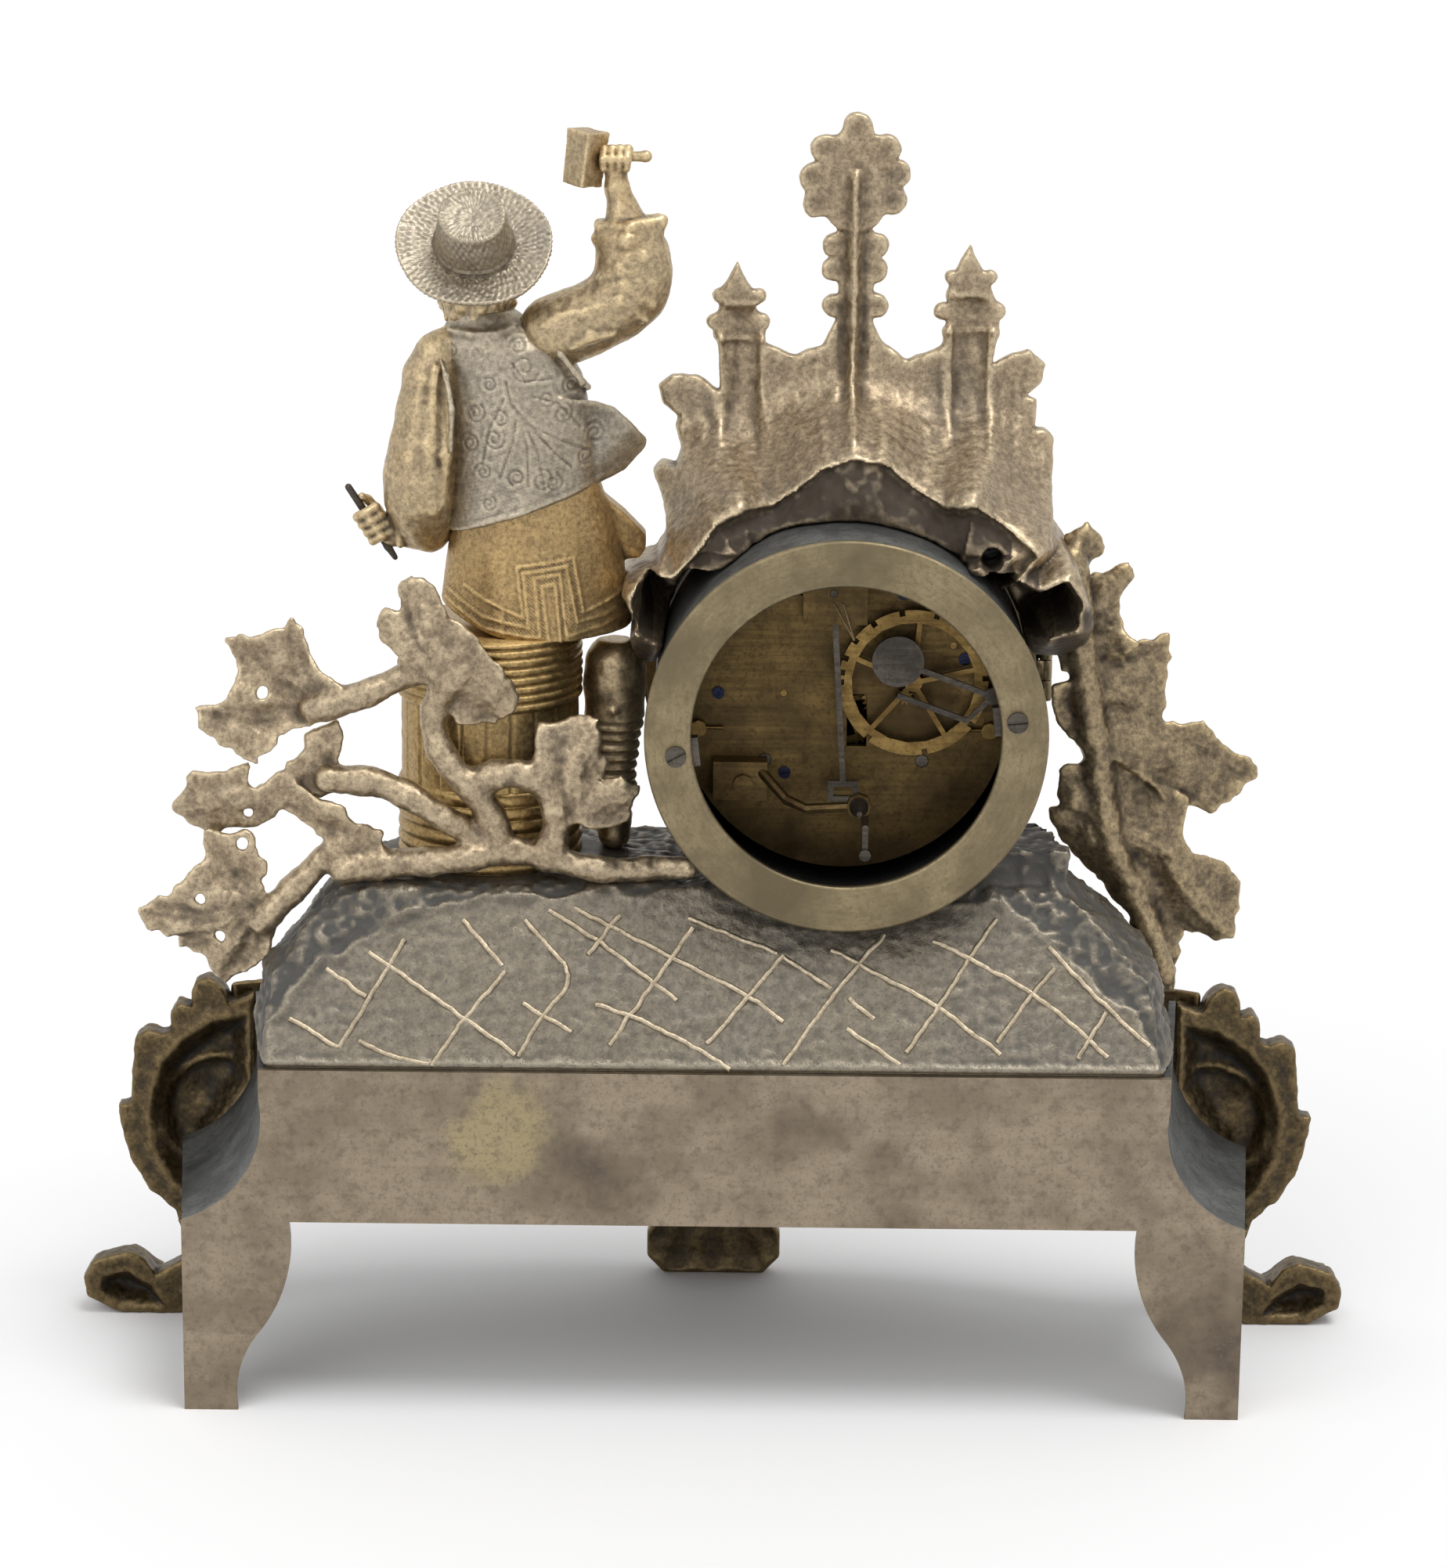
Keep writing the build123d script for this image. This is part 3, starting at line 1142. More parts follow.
def mesh_phase(a, b, teeth_b):
    """Phase of wheel b that sets a gap of it on the line toward a."""
    return toward(b, a) + pi / teeth_b


THROUGH = (CENTER, SECOND, STRIKE_SECOND, THIRD, ESCAPE, PALLET, PIN_WHEEL, FLY, HAMMER)


def movement_plate(y_back, own):
    """A round plate with pivot and pillar holes, its rear face at y_back. Only it has the holes in own."""
    with BuildPart() as plate:
        with BuildSketch(on_axis(y_back)):
            Circle(PLATE_RADIUS)
            with Locations(*THROUGH, *own):
                bar(ARBOR_RADIUS + PIVOT_GAP, True, Mode.SUBTRACT)
            with Locations(GOING_BARREL, STRIKE_BARREL):
                bar(BARREL_ARBOR_RADIUS + PIVOT_GAP, True, Mode.SUBTRACT)
            with Locations(*pillar_places()):
                bar(PILLAR_TENON_RADIUS + PIVOT_GAP, True, Mode.SUBTRACT)
        extrude(amount=PLATE_THICKNESS)
    return plate


def pillar_places():
    """Places of the four pillars."""
    turns = [radians(angle) for angle in PILLAR_ANGLES]
    return [(PILLAR_RING_RADIUS * cos(turn), PILLAR_RING_RADIUS * sin(turn)) for turn in turns]


front_plate = movement_plate(INNER_FRONT_Y, [MINUTE])
finish(front_plate, "front_plate")

with BuildPart() as back_plate:
    add(movement_plate(BACK_PLATE_Y, [COUNT, LEVER_POST]).part)
    with BuildSketch(on_axis(BACK_PLATE_Y)):
        with Locations((PLATE_WINDOW_U, PLATE_WINDOW_V)):
            Rectangle(PLATE_WINDOW_WIDTH, PLATE_WINDOW_HEIGHT)
    extrude(amount=PLATE_THICKNESS, mode=Mode.SUBTRACT)
finish(back_plate, "back_plate")

with BuildPart() as pillars:
    for place in pillar_places():
        disc(place, BACK_PLATE_Y, FRONT_PLATE_Y, PILLAR_TENON_RADIUS)
        disc(place, INNER_BACK_Y, INNER_FRONT_Y, PILLAR_RADIUS)
        disc(place, BACK_PLATE_Y + PILLAR_KNOB, BACK_PLATE_Y, PILLAR_RADIUS)
        knob = Vector(AXIS_X + place[0], BACK_PLATE_Y + PILLAR_KNOB / 2, AXIS_Z + place[1])
        pin = Vector(TAPER_PIN_LENGTH if place[0] < 0 else -TAPER_PIN_LENGTH, 0, 0)
        rod(knob, knob + pin, TAPER_PIN_RADIUS)
finish(pillars, "pillars")


def barrel(place):
    """A spring barrel: a closed drum with its great wheel, free on its arbor."""
    great_y = INNER_FRONT_Y + GREAT_LEVEL
    mate = SECOND if place[0] > 0 else STRIKE_SECOND
    module = module_of(place, GREAT_TEETH, mate, SECOND_PINION_TEETH)
    with BuildPart() as drum:
        gear(place, great_y + WHEEL_THICKNESS, WHEEL_THICKNESS, GREAT_TEETH, module, toward(place, mate),
             False)
        disc(place, great_y + WHEEL_THICKNESS + BARREL_LENGTH, great_y + WHEEL_THICKNESS, BARREL_RADIUS)
        bore = BARREL_ARBOR_RADIUS + RUNNING_GAP
        disc(place, great_y + WHEEL_THICKNESS + BARREL_LENGTH, great_y, bore, Mode.SUBTRACT, True)
    return drum


def winding_arbor(place):
    """A barrel's arbor, round between the plates and square toward the dial for the key."""
    with BuildPart() as arbor:
        disc(place, BACK_PLATE_Y, FRONT_PLATE_Y, BARREL_ARBOR_RADIUS)
        with BuildSketch(on_axis(FRONT_PLATE_Y, *place)):
            Rectangle(SQUARE_SIDE, SQUARE_SIDE)
        extrude(amount=FRONT_PLATE_Y - RING_BACK_Y)
    return arbor


for place, train in ((GOING_BARREL, "going"), (STRIKE_BARREL, "strike")):
    finish(barrel(place), f"{train}_barrel")
    finish(winding_arbor(place), f"{train}_winding_arbor")


def train_arbor(place, y_back=BACK_PLATE_Y):
    """The plain steel arbor of a wheel, from the front plate's face to y_back."""
    disc(place, y_back, FRONT_PLATE_Y, ARBOR_RADIUS)


def second_wheel(place, barrel_place, next_place, teeth, next_teeth, y_back):
    """The second arbor of a train: a pinion in the great wheel and a wheel behind the barrels."""
    great_module = module_of(barrel_place, GREAT_TEETH, place, SECOND_PINION_TEETH)
    pinion_y = INNER_FRONT_Y + GREAT_LEVEL + (WHEEL_THICKNESS + PINION_LENGTH) / 2
    wheel_y = INNER_FRONT_Y + SECOND_LEVEL + WHEEL_THICKNESS
    with BuildPart() as arbor:
        train_arbor(place, y_back)
        gear(place, pinion_y, PINION_LENGTH, SECOND_PINION_TEETH, great_module,
             mesh_phase(barrel_place, place, SECOND_PINION_TEETH), False)
        gear(place, wheel_y, WHEEL_THICKNESS, teeth, module_of(place, teeth, next_place, next_teeth),
             toward(place, next_place))
    return arbor


finish(second_wheel(SECOND, GOING_BARREL, CENTER, SECOND_WHEEL_TEETH, CENTER_PINION_TEETH, BACK_PLATE_Y),
       "going_second_wheel")

COUNT_GEAR_Y = BACK_PLATE_Y + COUNT_GEAR_LEVEL + PINION_LENGTH
with BuildPart() as strike_second_wheel:
    add(second_wheel(STRIKE_SECOND, STRIKE_BARREL, PIN_WHEEL, STRIKE_WHEEL_TEETH, PIN_PINION_TEETH,
                     COUNT_GEAR_Y).part)
    count_module = module_of(STRIKE_SECOND, COUNT_PINION_TEETH, COUNT, COUNT_GEAR_TEETH)
    gear(STRIKE_SECOND, COUNT_GEAR_Y, PINION_LENGTH, COUNT_PINION_TEETH, count_module,
         toward(STRIKE_SECOND, COUNT), False)
finish(strike_second_wheel, "strike_second_wheel")

with BuildPart() as center_wheel:
    disc(CENTER, BACK_PLATE_Y, FRONT_PLATE_Y, ARBOR_RADIUS)
    gear(CENTER, INNER_FRONT_Y + SECOND_LEVEL + (WHEEL_THICKNESS + PINION_LENGTH) / 2, PINION_LENGTH,
         CENTER_PINION_TEETH, module_of(SECOND, SECOND_WHEEL_TEETH, CENTER, CENTER_PINION_TEETH),
         mesh_phase(SECOND, CENTER, CENTER_PINION_TEETH), False)
    gear(CENTER, INNER_FRONT_Y + CENTER_LEVEL + WHEEL_THICKNESS, WHEEL_THICKNESS, CENTER_WHEEL_TEETH,
         module_of(CENTER, CENTER_WHEEL_TEETH, THIRD, THIRD_PINION_TEETH), toward(CENTER, THIRD))
    gear(CENTER, FRONT_PLATE_Y - MINUTE_LEVEL, MOTION_THICKNESS, CANNON_TEETH,
         module_of(CENTER, CANNON_TEETH, MINUTE, MINUTE_WHEEL_TEETH), toward(CENTER, MINUTE), False)
    disc(CENTER, FRONT_PLATE_Y - MINUTE_LEVEL, MINUTE_HAND_Y - HAND_THICKNESS, CANNON_RADIUS)
    disc(CENTER, FRONT_PLATE_Y, FRONT_PLATE_Y - MINUTE_LEVEL, ARBOR_RADIUS)
finish(center_wheel, "center_wheel")

with BuildPart() as minute_wheel:
    disc(MINUTE, INNER_FRONT_Y, FRONT_PLATE_Y - HOUR_LEVEL - MOTION_THICKNESS, ARBOR_RADIUS)
    gear(MINUTE, FRONT_PLATE_Y - MINUTE_LEVEL, MOTION_THICKNESS, MINUTE_WHEEL_TEETH,
         module_of(CENTER, CANNON_TEETH, MINUTE, MINUTE_WHEEL_TEETH),
         mesh_phase(CENTER, MINUTE, MINUTE_WHEEL_TEETH))
    gear(MINUTE, FRONT_PLATE_Y - HOUR_LEVEL, MOTION_THICKNESS, MINUTE_PINION_TEETH,
         module_of(MINUTE, MINUTE_PINION_TEETH, CENTER, HOUR_WHEEL_TEETH), toward(MINUTE, CENTER), False)
finish(minute_wheel, "minute_wheel")

with BuildPart() as hour_wheel:
    gear(CENTER, FRONT_PLATE_Y - HOUR_LEVEL, MOTION_THICKNESS, HOUR_WHEEL_TEETH,
         module_of(MINUTE, MINUTE_PINION_TEETH, CENTER, HOUR_WHEEL_TEETH),
         mesh_phase(MINUTE, CENTER, HOUR_WHEEL_TEETH), False)
    disc(CENTER, FRONT_PLATE_Y - HOUR_LEVEL, HOUR_HAND_Y - HAND_THICKNESS, HOUR_PIPE_RADIUS)
    disc(CENTER, FRONT_PLATE_Y - HOUR_LEVEL, HOUR_HAND_Y - HAND_THICKNESS, CANNON_RADIUS + RUNNING_GAP,
         Mode.SUBTRACT, True)
finish(hour_wheel, "hour_wheel")

escape_pinion_radius = ARBOR_RADIUS + ADDENDUM_SHARE
with BuildPart() as third_wheel:
    train_arbor(THIRD)
    gear(THIRD, INNER_FRONT_Y + CENTER_LEVEL + (WHEEL_THICKNESS + PINION_LENGTH) / 2, PINION_LENGTH,
         THIRD_PINION_TEETH, module_of(CENTER, CENTER_WHEEL_TEETH, THIRD, THIRD_PINION_TEETH),
         mesh_phase(CENTER, THIRD, THIRD_PINION_TEETH), False)
    tip_radius = apart(THIRD, ESCAPE) - escape_pinion_radius - SEAT_GAP
    gear(THIRD, INNER_FRONT_Y + THIRD_LEVEL + WHEEL_THICKNESS, WHEEL_THICKNESS, THIRD_WHEEL_TEETH,
         tip_radius / (THIRD_WHEEL_TEETH / 2 + ADDENDUM_SHARE), toward(THIRD, ESCAPE))
finish(third_wheel, "third_wheel")

with BuildPart() as escape_wheel:
    train_arbor(ESCAPE)
    wheel_y = INNER_FRONT_Y + SECOND_LEVEL + WHEEL_THICKNESS
    with BuildSketch(on_axis(wheel_y, *ESCAPE)):
        with BuildLine():
            teeth = []
            for i in range(ESCAPE_TEETH):
                angle = 2 * pi * i / ESCAPE_TEETH
                teeth.append((ESCAPE_RADIUS * cos(angle), ESCAPE_RADIUS * sin(angle)))
                root = ESCAPE_RADIUS - ESCAPE_TOOTH
                teeth.append((root * cos(angle + ESCAPE_LEAN / root), root * sin(angle + ESCAPE_LEAN / root)))
            Polyline(*teeth, close=True)
        make_face()
    extrude(amount=WHEEL_THICKNESS)
    cross(ESCAPE, wheel_y, WHEEL_THICKNESS, ESCAPE_RADIUS - ESCAPE_TOOTH - WHEEL_RIM, HUB_RADIUS, 4)
    pinion_y = INNER_FRONT_Y + THIRD_LEVEL
    disc(ESCAPE, pinion_y + WHEEL_THICKNESS, pinion_y, escape_pinion_radius)
finish(escape_wheel, "escape_wheel")

PALLET_SHARES = (
    (0.0, 0.35), (0.55, 0.1), (1.0, -0.45), (0.86, -0.62), (0.62, -0.3), (0.0, -0.05), (-0.62, -0.3),
    (-0.86, -0.62), (-1.0, -0.45), (-0.55, 0.1),
)
CRUTCH_Y = BACK_PLATE_Y + CRUTCH_LEVEL
with BuildPart() as pallets:
    disc(PALLET, BACK_PLATE_Y + COCK_LEVEL + COCK_THICKNESS, FRONT_PLATE_Y, ARBOR_RADIUS)
    with BuildSketch(on_axis(INNER_FRONT_Y + SECOND_LEVEL + WHEEL_THICKNESS, *PALLET)):
        with BuildLine():
            Polyline(*[(PALLET_SPAN * u, PALLET_SPAN * v) for u, v in PALLET_SHARES], close=True)
        make_face()
    extrude(amount=WHEEL_THICKNESS)
finish(pallets, "pallets")

with BuildPart() as crutch:
    disc(PALLET, CRUTCH_Y + CRUTCH_WIDTH, CRUTCH_Y, HUB_RADIUS)
    with BuildSketch(on_axis(CRUTCH_Y + CRUTCH_WIDTH, *PALLET)):
        fork_v = -CRUTCH_LENGTH - FORK_HEIGHT / 2
        with BuildLine():
            rod_run = [(0, 0), (-CRUTCH_LEAN, -CRUTCH_LENGTH)]
            Polyline(*ribbon(rod_run, (CRUTCH_WIDTH, CRUTCH_WIDTH)), close=True)
        make_face()
        with Locations((-CRUTCH_LEAN, fork_v)):
            Rectangle(FORK_WIDTH, FORK_HEIGHT)
            Rectangle(FORK_WIDTH - FORK_BAR * 2, FORK_HEIGHT - FORK_BAR * 2, mode=Mode.SUBTRACT)
    extrude(amount=CRUTCH_WIDTH)
    disc(PALLET, CRUTCH_Y + CRUTCH_WIDTH, CRUTCH_Y, ARBOR_RADIUS, Mode.SUBTRACT)
finish(crutch, "crutch")

with BuildPart() as pin_wheel:
    train_arbor(PIN_WHEEL)
    pin_module = module_of(STRIKE_SECOND, STRIKE_WHEEL_TEETH, PIN_WHEEL, PIN_PINION_TEETH)
    gear(PIN_WHEEL, INNER_FRONT_Y + SECOND_LEVEL + (WHEEL_THICKNESS + PINION_LENGTH) / 2, PINION_LENGTH,
         PIN_PINION_TEETH, pin_module, mesh_phase(STRIKE_SECOND, PIN_WHEEL, PIN_PINION_TEETH), False)
    rim_y = INNER_FRONT_Y + PIN_LEVEL
    disc(PIN_WHEEL, rim_y + WHEEL_THICKNESS, rim_y, PIN_WHEEL_RADIUS)
    window = PIN_WHEEL_RADIUS - WHEEL_RIM * 2
    cross(PIN_WHEEL, rim_y + WHEEL_THICKNESS, WHEEL_THICKNESS, window, HUB_RADIUS, 4)
    with BuildSketch(on_axis(rim_y, *PIN_WHEEL)):
        with PolarLocations(PIN_WHEEL_RADIUS - WHEEL_RIM, BLOWS):
            RegularPolygon(STRIKE_PIN_RADIUS, 6)
    extrude(amount=STRIKE_PIN_LENGTH)
finish(pin_wheel, "pin_wheel")

with BuildPart() as fly:
    train_arbor(FLY)
    with BuildSketch(on_axis(FLY_REAR_Y, *FLY)):
        Rectangle(FLY_SPAN, WHEEL_THICKNESS)
    extrude(amount=FLY_LENGTH)
finish(fly, "fly")

with BuildPart() as count_wheel:
    disc(COUNT, BACK_PLATE_Y + COUNT_LEVEL + COUNT_THICKNESS, INNER_BACK_Y, ARBOR_RADIUS)
    gear(COUNT, COUNT_GEAR_Y, PINION_LENGTH, COUNT_GEAR_TEETH, count_module,
         mesh_phase(STRIKE_SECOND, COUNT, COUNT_GEAR_TEETH), False)
    disc(COUNT, BACK_PLATE_Y + COUNT_LEVEL, COUNT_GEAR_Y, COUNT_HUB_RADIUS)
    with BuildSketch(on_axis(BACK_PLATE_Y + COUNT_LEVEL + COUNT_THICKNESS, *COUNT)):
        Circle(COUNT_RADIUS)
        blows = 0
        for hour in range(1, HOURS + 1):
            with PolarLocations(COUNT_RADIUS, 1, start_angle=360 * blows / COUNT_DIVISIONS):
                Rectangle(COUNT_NOTCH * 2, COUNT_NOTCH, mode=Mode.SUBTRACT)
            blows += hour + 1
    extrude(amount=COUNT_THICKNESS)
    cross(COUNT, BACK_PLATE_Y + COUNT_LEVEL + COUNT_THICKNESS, COUNT_THICKNESS, COUNT_RADIUS - COUNT_RIM,
          HUB_RADIUS, 5, radians(COUNT_SPOKE_ANGLE))
finish(count_wheel, "count_wheel")

LEVER_Y = BACK_PLATE_Y + LEVER_DISC_LEVEL
LEVER_UPPER = (LEVER_POST, (LEVER_DISC_U, LEVER_DISC_V))
LEVER_LOWER = (LEVER_POST, (LEVER_KNEE_U, LEVER_KNEE_V), (LEVER_DISC_U, LEVER_POST_V))
with BuildPart() as detent_lever:
    disc(LEVER_POST, LEVER_Y, INNER_BACK_Y, ARBOR_RADIUS)
    disc(LEVER_POST, LEVER_Y, LEVER_Y - LEVER_THICKNESS, HUB_RADIUS)
    disc((LEVER_DISC_U, LEVER_DISC_V), LEVER_Y, LEVER_Y - LEVER_DISC_THICKNESS, LEVER_DISC_RADIUS)
    for run in (LEVER_UPPER, LEVER_LOWER):
        with BuildSketch(on_axis(LEVER_Y)):
            with BuildLine():
                Polyline(*ribbon(run, [CRUTCH_WIDTH for place in run]), close=True)
            make_face()
        extrude(amount=LEVER_THICKNESS)
finish(detent_lever, "detent_lever")


def tailed(place, v):
    """A place moved straight up by v."""
    return (place[0], place[1] + v)


HAMMER_Y = BACK_PLATE_Y + HAMMER_LEVEL
with BuildPart() as hammer:
    disc(HAMMER, HAMMER_Y + CRUTCH_WIDTH, FRONT_PLATE_Y, ARBOR_RADIUS)
    with BuildSketch(on_axis(HAMMER_TAIL_Y)):
        with BuildLine():
            tail = [HAMMER, (HAMMER_TAIL_U, HAMMER_TAIL_V)]
            Polyline(*ribbon(tail, (CRUTCH_WIDTH, CRUTCH_WIDTH)), close=True)
        make_face()
    extrude(amount=WHEEL_THICKNESS)
    with BuildSketch(on_axis(HAMMER_Y + CRUTCH_WIDTH)):
        with BuildLine():
            stem = [HAMMER, tailed(HAMMER, -HAMMER_LENGTH)]
            Polyline(*ribbon(stem, (CRUTCH_WIDTH, CRUTCH_WIDTH)), close=True)
        make_face()
    extrude(amount=CRUTCH_WIDTH)
    disc(tailed(HAMMER, -HAMMER_LENGTH), HAMMER_Y + HAMMER_HEAD_LENGTH / 2 + CRUTCH_WIDTH / 2,
         HAMMER_Y + CRUTCH_WIDTH / 2 - HAMMER_HEAD_LENGTH / 2, HAMMER_HEAD_RADIUS)
finish(hammer, "hammer")

BELL_ARM_SHARES = (
    (0.228, -0.17, 0.06), (0.16, -0.229, 0.13), (0.102, -0.244, 0.17), (-0.013, -0.228, 0.2),
    (-0.04, -0.223, 0.2),
)
BELL_BOLT_Y = BACK_PLATE_Y + BELL_ARM_LEVEL
with BuildPart() as bell_stand:
    with BuildSketch(on_axis(BACK_PLATE_Y + BELL_STAND_DEPTH, BELL_STAND_U, BELL_STAND_V)):
        Rectangle(BELL_STAND_WIDTH, BELL_STAND_HEIGHT)
    extrude(amount=BELL_STAND_DEPTH)
    disc((BELL_SCREW_U, BELL_SCREW_V), BACK_PLATE_Y + BELL_STAND_DEPTH + RING_SCREW_HEAD,
         BACK_PLATE_Y + BELL_STAND_DEPTH, RING_SCREW_HEAD_RADIUS)
    joints = [Vector(AXIS_X + CARVING * u, BACK_PLATE_Y + CARVING * back, AXIS_Z + CARVING * v)
              for u, v, back in BELL_ARM_SHARES]
    tube(joints, [BELL_ARM_RADIUS for place in joints], BAR_SIDES)
    disc((BELL_U, BELL_V), BELL_BOLT_Y + BELL_ARM_RADIUS, BELL_BOLT_Y - BELL_ARM_RADIUS, WASHER_RADIUS)
finish(bell_stand, "bell_stand")

with BuildPart() as bell_nut:
    nut_y = BELL_BOLT_Y + BELL_ARM_RADIUS
    turned([(0, nut_y), (BELL_NUT_RADIUS, nut_y), (BELL_NUT_RADIUS, nut_y + BELL_NUT_LENGTH / 4),
            (BELL_ARM_RADIUS / 2, nut_y + BELL_NUT_LENGTH), (0, nut_y + BELL_NUT_LENGTH)], BELL_U, BELL_V)
finish(bell_nut, "bell_nut")

COCK_BACK_Y = BACK_PLATE_Y + COCK_LEVEL + COCK_THICKNESS
with BuildPart() as suspension_cock:
    with BuildSketch(on_axis(COCK_BACK_Y)):
        with Locations(((COCK_LEFT + COCK_RIGHT) / 2, (COCK_FOOT_V + COCK_TOP_V) / 2)):
            Rectangle(COCK_RIGHT - COCK_LEFT, COCK_TOP_V - COCK_FOOT_V)
    extrude(amount=COCK_THICKNESS)
    with BuildSketch(on_axis(BACK_PLATE_Y + COCK_LEVEL)):
        for u in (COCK_LEFT + COCK_WALL / 2, COCK_RIGHT - COCK_WALL / 2):
            with Locations((u, (COCK_FOOT_V + COCK_TOP_V) / 2)):
                Rectangle(COCK_WALL, COCK_TOP_V - COCK_FOOT_V)
    extrude(amount=COCK_LEVEL)
    with BuildSketch(on_axis(BACK_PLATE_Y + COCK_WALL)):
        flange_u = (COCK_RIGHT + COCK_FLANGE_RIGHT - COCK_WALL) / 2
        with Locations((flange_u, (COCK_FOOT_V + COCK_FLANGE_TOP_V) / 2)):
            Rectangle(COCK_FLANGE_RIGHT - COCK_RIGHT + COCK_WALL, COCK_FLANGE_TOP_V - COCK_FOOT_V)
    extrude(amount=COCK_WALL)
    disc(PALLET, COCK_BACK_Y, BACK_PLATE_Y, ARBOR_RADIUS + PIVOT_GAP, Mode.SUBTRACT, True)
finish(suspension_cock, "suspension_cock")

with BuildPart() as silk_loop:
    silk_y = COCK_BACK_Y + SILK_RADIUS
    knots = ((ESCAPE_U, COCK_FLANGE_TOP_V), (SILK_U, SILK_V), (ARBOR_RADIUS, COCK_FLANGE_TOP_V))
    places = [Vector(AXIS_X + u, silk_y, AXIS_Z + v) for u, v in knots]
    for start, end in zip(places, places[1:]):
        rod(start, end, SILK_RADIUS)
finish(silk_loop, "silk_loop")

# Dial, front ring and the glazed bezel
with BuildPart() as dial:
    dial_front = DIAL_BACK_Y - DIAL_THICKNESS
    with BuildSketch(on_axis(DIAL_BACK_Y)):
        Circle(DIAL_RADIUS)
        bar(CENTER_HOLE_RADIUS, True, Mode.SUBTRACT)
        with Locations(GOING_BARREL, STRIKE_BARREL):
            bar(WINDING_HOLE_RADIUS, True, Mode.SUBTRACT)
    extrude(amount=DIAL_THICKNESS)
    with BuildSketch(on_axis(FRONT_PLATE_Y)):
        with PolarLocations(DIAL_FOOT_RING, 3, start_angle=90):
            bar(DIAL_FOOT_RADIUS)
    extrude(amount=FRONT_PLATE_Y - DIAL_BACK_Y)
finish(dial, "dial")

FRONT_RING_Y = DRUM_FRONT_Y - FRONT_RING_THICKNESS
SPIGOT_RADIUS = DRUM_RADIUS - DRUM_WALL - SEAT_GAP


def knuckle(z, length, bore, web_y, edge, clear):
    """One barrel of the hinge, from z upward, with a web at web_y into the ring whose radius is edge."""
    web = HINGE_REACH - edge + HINGE_BITE
    with BuildSketch(Plane.XY.offset(z)) as eye:
        with Locations((HINGE_X, HINGE_Y)):
            bar(HINGE_BARREL_RADIUS)
        with Locations((HINGE_X + web / 2, web_y)):
            Rectangle(web, HINGE_BARREL_RADIUS)
    extrude(to_extrude=eye.sketch, amount=length)
    with BuildSketch(Plane.XY.offset(z)) as hole:
        with Locations((HINGE_X, HINGE_Y)):
            bar(bore, clear)
    extrude(to_extrude=hole.sketch, amount=length, mode=Mode.SUBTRACT)


KNUCKLE = HINGE_LENGTH / 3
WEB_SHIFT = (HINGE_BARREL_RADIUS + BEZEL_GAP) / 2
with BuildPart() as front_ring:
    turned([(RING_LIP_RADIUS, FRONT_RING_Y), (FRONT_RING_RADIUS, FRONT_RING_Y),
            (FRONT_RING_RADIUS, DRUM_FRONT_Y), (SPIGOT_RADIUS, DRUM_FRONT_Y),
            (SPIGOT_RADIUS, DRUM_FRONT_Y + SPIGOT_DEPTH),
            (SPIGOT_RADIUS - SPIGOT_WALL, DRUM_FRONT_Y + SPIGOT_DEPTH),
            (SPIGOT_RADIUS - SPIGOT_WALL, FRONT_RING_Y + FRONT_RING_LIP),
            (RING_LIP_RADIUS, FRONT_RING_Y + FRONT_RING_LIP)])
    knuckle(AXIS_Z - KNUCKLE / 2, KNUCKLE, HINGE_PIN_RADIUS, HINGE_Y + WEB_SHIFT, FRONT_RING_RADIUS, False)
finish(front_ring, "front_ring")

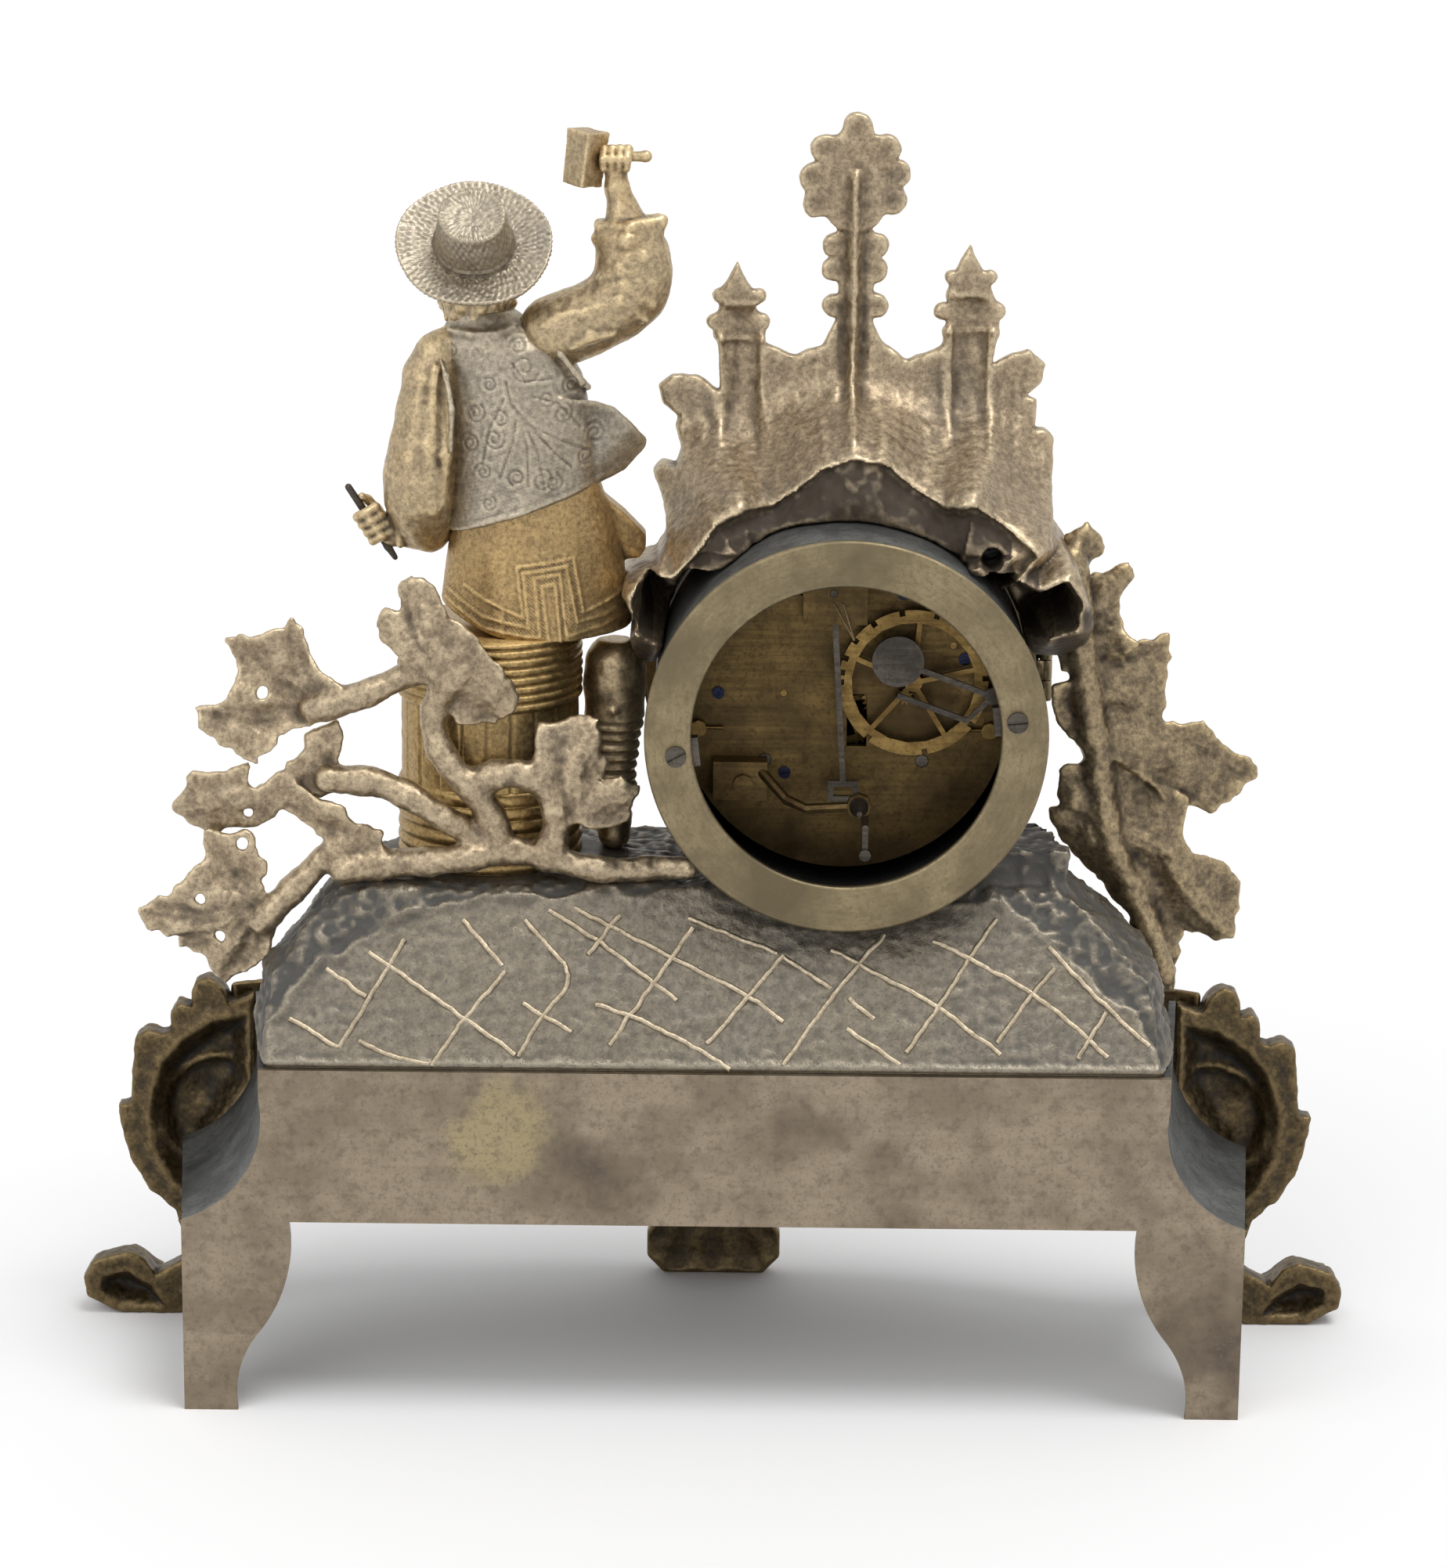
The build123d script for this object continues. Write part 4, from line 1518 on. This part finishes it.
BEZEL_BACK_Y = FRONT_RING_Y - BEZEL_GAP
BEZEL_FRONT_Y = BEZEL_BACK_Y - BEZEL_DEPTH
GLASS_FRONT_Y = BEZEL_FRONT_Y + BEZEL_DEPTH / 3
with BuildPart() as bezel_frame:
    turned([(GLASS_RADIUS, BEZEL_BACK_Y), (BEZEL_RADIUS, BEZEL_BACK_Y),
            (BEZEL_RADIUS, BEZEL_BACK_Y - BEZEL_DEPTH / 3), (GLASS_RADIUS, BEZEL_FRONT_Y),
            (BEZEL_SIGHT_RADIUS, BEZEL_FRONT_Y), (BEZEL_SIGHT_RADIUS, GLASS_FRONT_Y),
            (GLASS_RADIUS, GLASS_FRONT_Y)])
    for z in (AXIS_Z + KNUCKLE / 2 + RUNNING_GAP, AXIS_Z - KNUCKLE / 2 - KNUCKLE - RUNNING_GAP):
        knuckle(z, KNUCKLE, HINGE_PIN_RADIUS + RUNNING_GAP, HINGE_Y - WEB_SHIFT, BEZEL_RADIUS, True)
finish(bezel_frame, "bezel_frame")

with BuildPart() as bezel_glass:
    disc(CENTER, GLASS_FRONT_Y + GLASS_THICKNESS, GLASS_FRONT_Y, GLASS_RADIUS)
finish(bezel_glass, "bezel_glass")

with BuildPart() as hinge_pin:
    rod(Vector(HINGE_X, HINGE_Y, AXIS_Z - HINGE_LENGTH / 2 - RUNNING_GAP),
        Vector(HINGE_X, HINGE_Y, AXIS_Z + HINGE_LENGTH / 2 + RUNNING_GAP), HINGE_PIN_RADIUS)
finish(hinge_pin, "hinge_pin")

# Hands. Their outline shares are of each hand's length, along it and across it.
HAND_SHARES = (
    (0.0, 0.045), (0.3, 0.03), (0.62, 0.024), (0.7, 0.07), (0.77, 0.075), (0.83, 0.03), (1.0, 0.004),
    (1.0, -0.004), (0.83, -0.03), (0.77, -0.075), (0.7, -0.07), (0.62, -0.024), (0.3, -0.03), (0.0, -0.045),
)


def hand(y_back, length, angle, bore):
    """A clock hand that points at angle, with its rear face at y_back."""
    outline = [(length * u, length * v) for u, v in HAND_SHARES]
    with BuildPart() as piece:
        with BuildSketch(on_axis(y_back)):
            with BuildLine():
                Polyline(*[(u * cos(angle) - v * sin(angle), u * sin(angle) + v * cos(angle))
                           for u, v in outline], close=True)
            make_face()
            bar(HAND_BOSS)
            bar(bore, mode=Mode.SUBTRACT)
        extrude(amount=HAND_THICKNESS)
    return piece


finish(hand(HOUR_HAND_Y, HOUR_HAND_LENGTH, radians(HOUR_HAND_ANGLE), HOUR_PIPE_RADIUS), "hour_hand")
finish(hand(MINUTE_HAND_Y, MINUTE_HAND_LENGTH, radians(MINUTE_HAND_ANGLE), CANNON_RADIUS), "minute_hand")
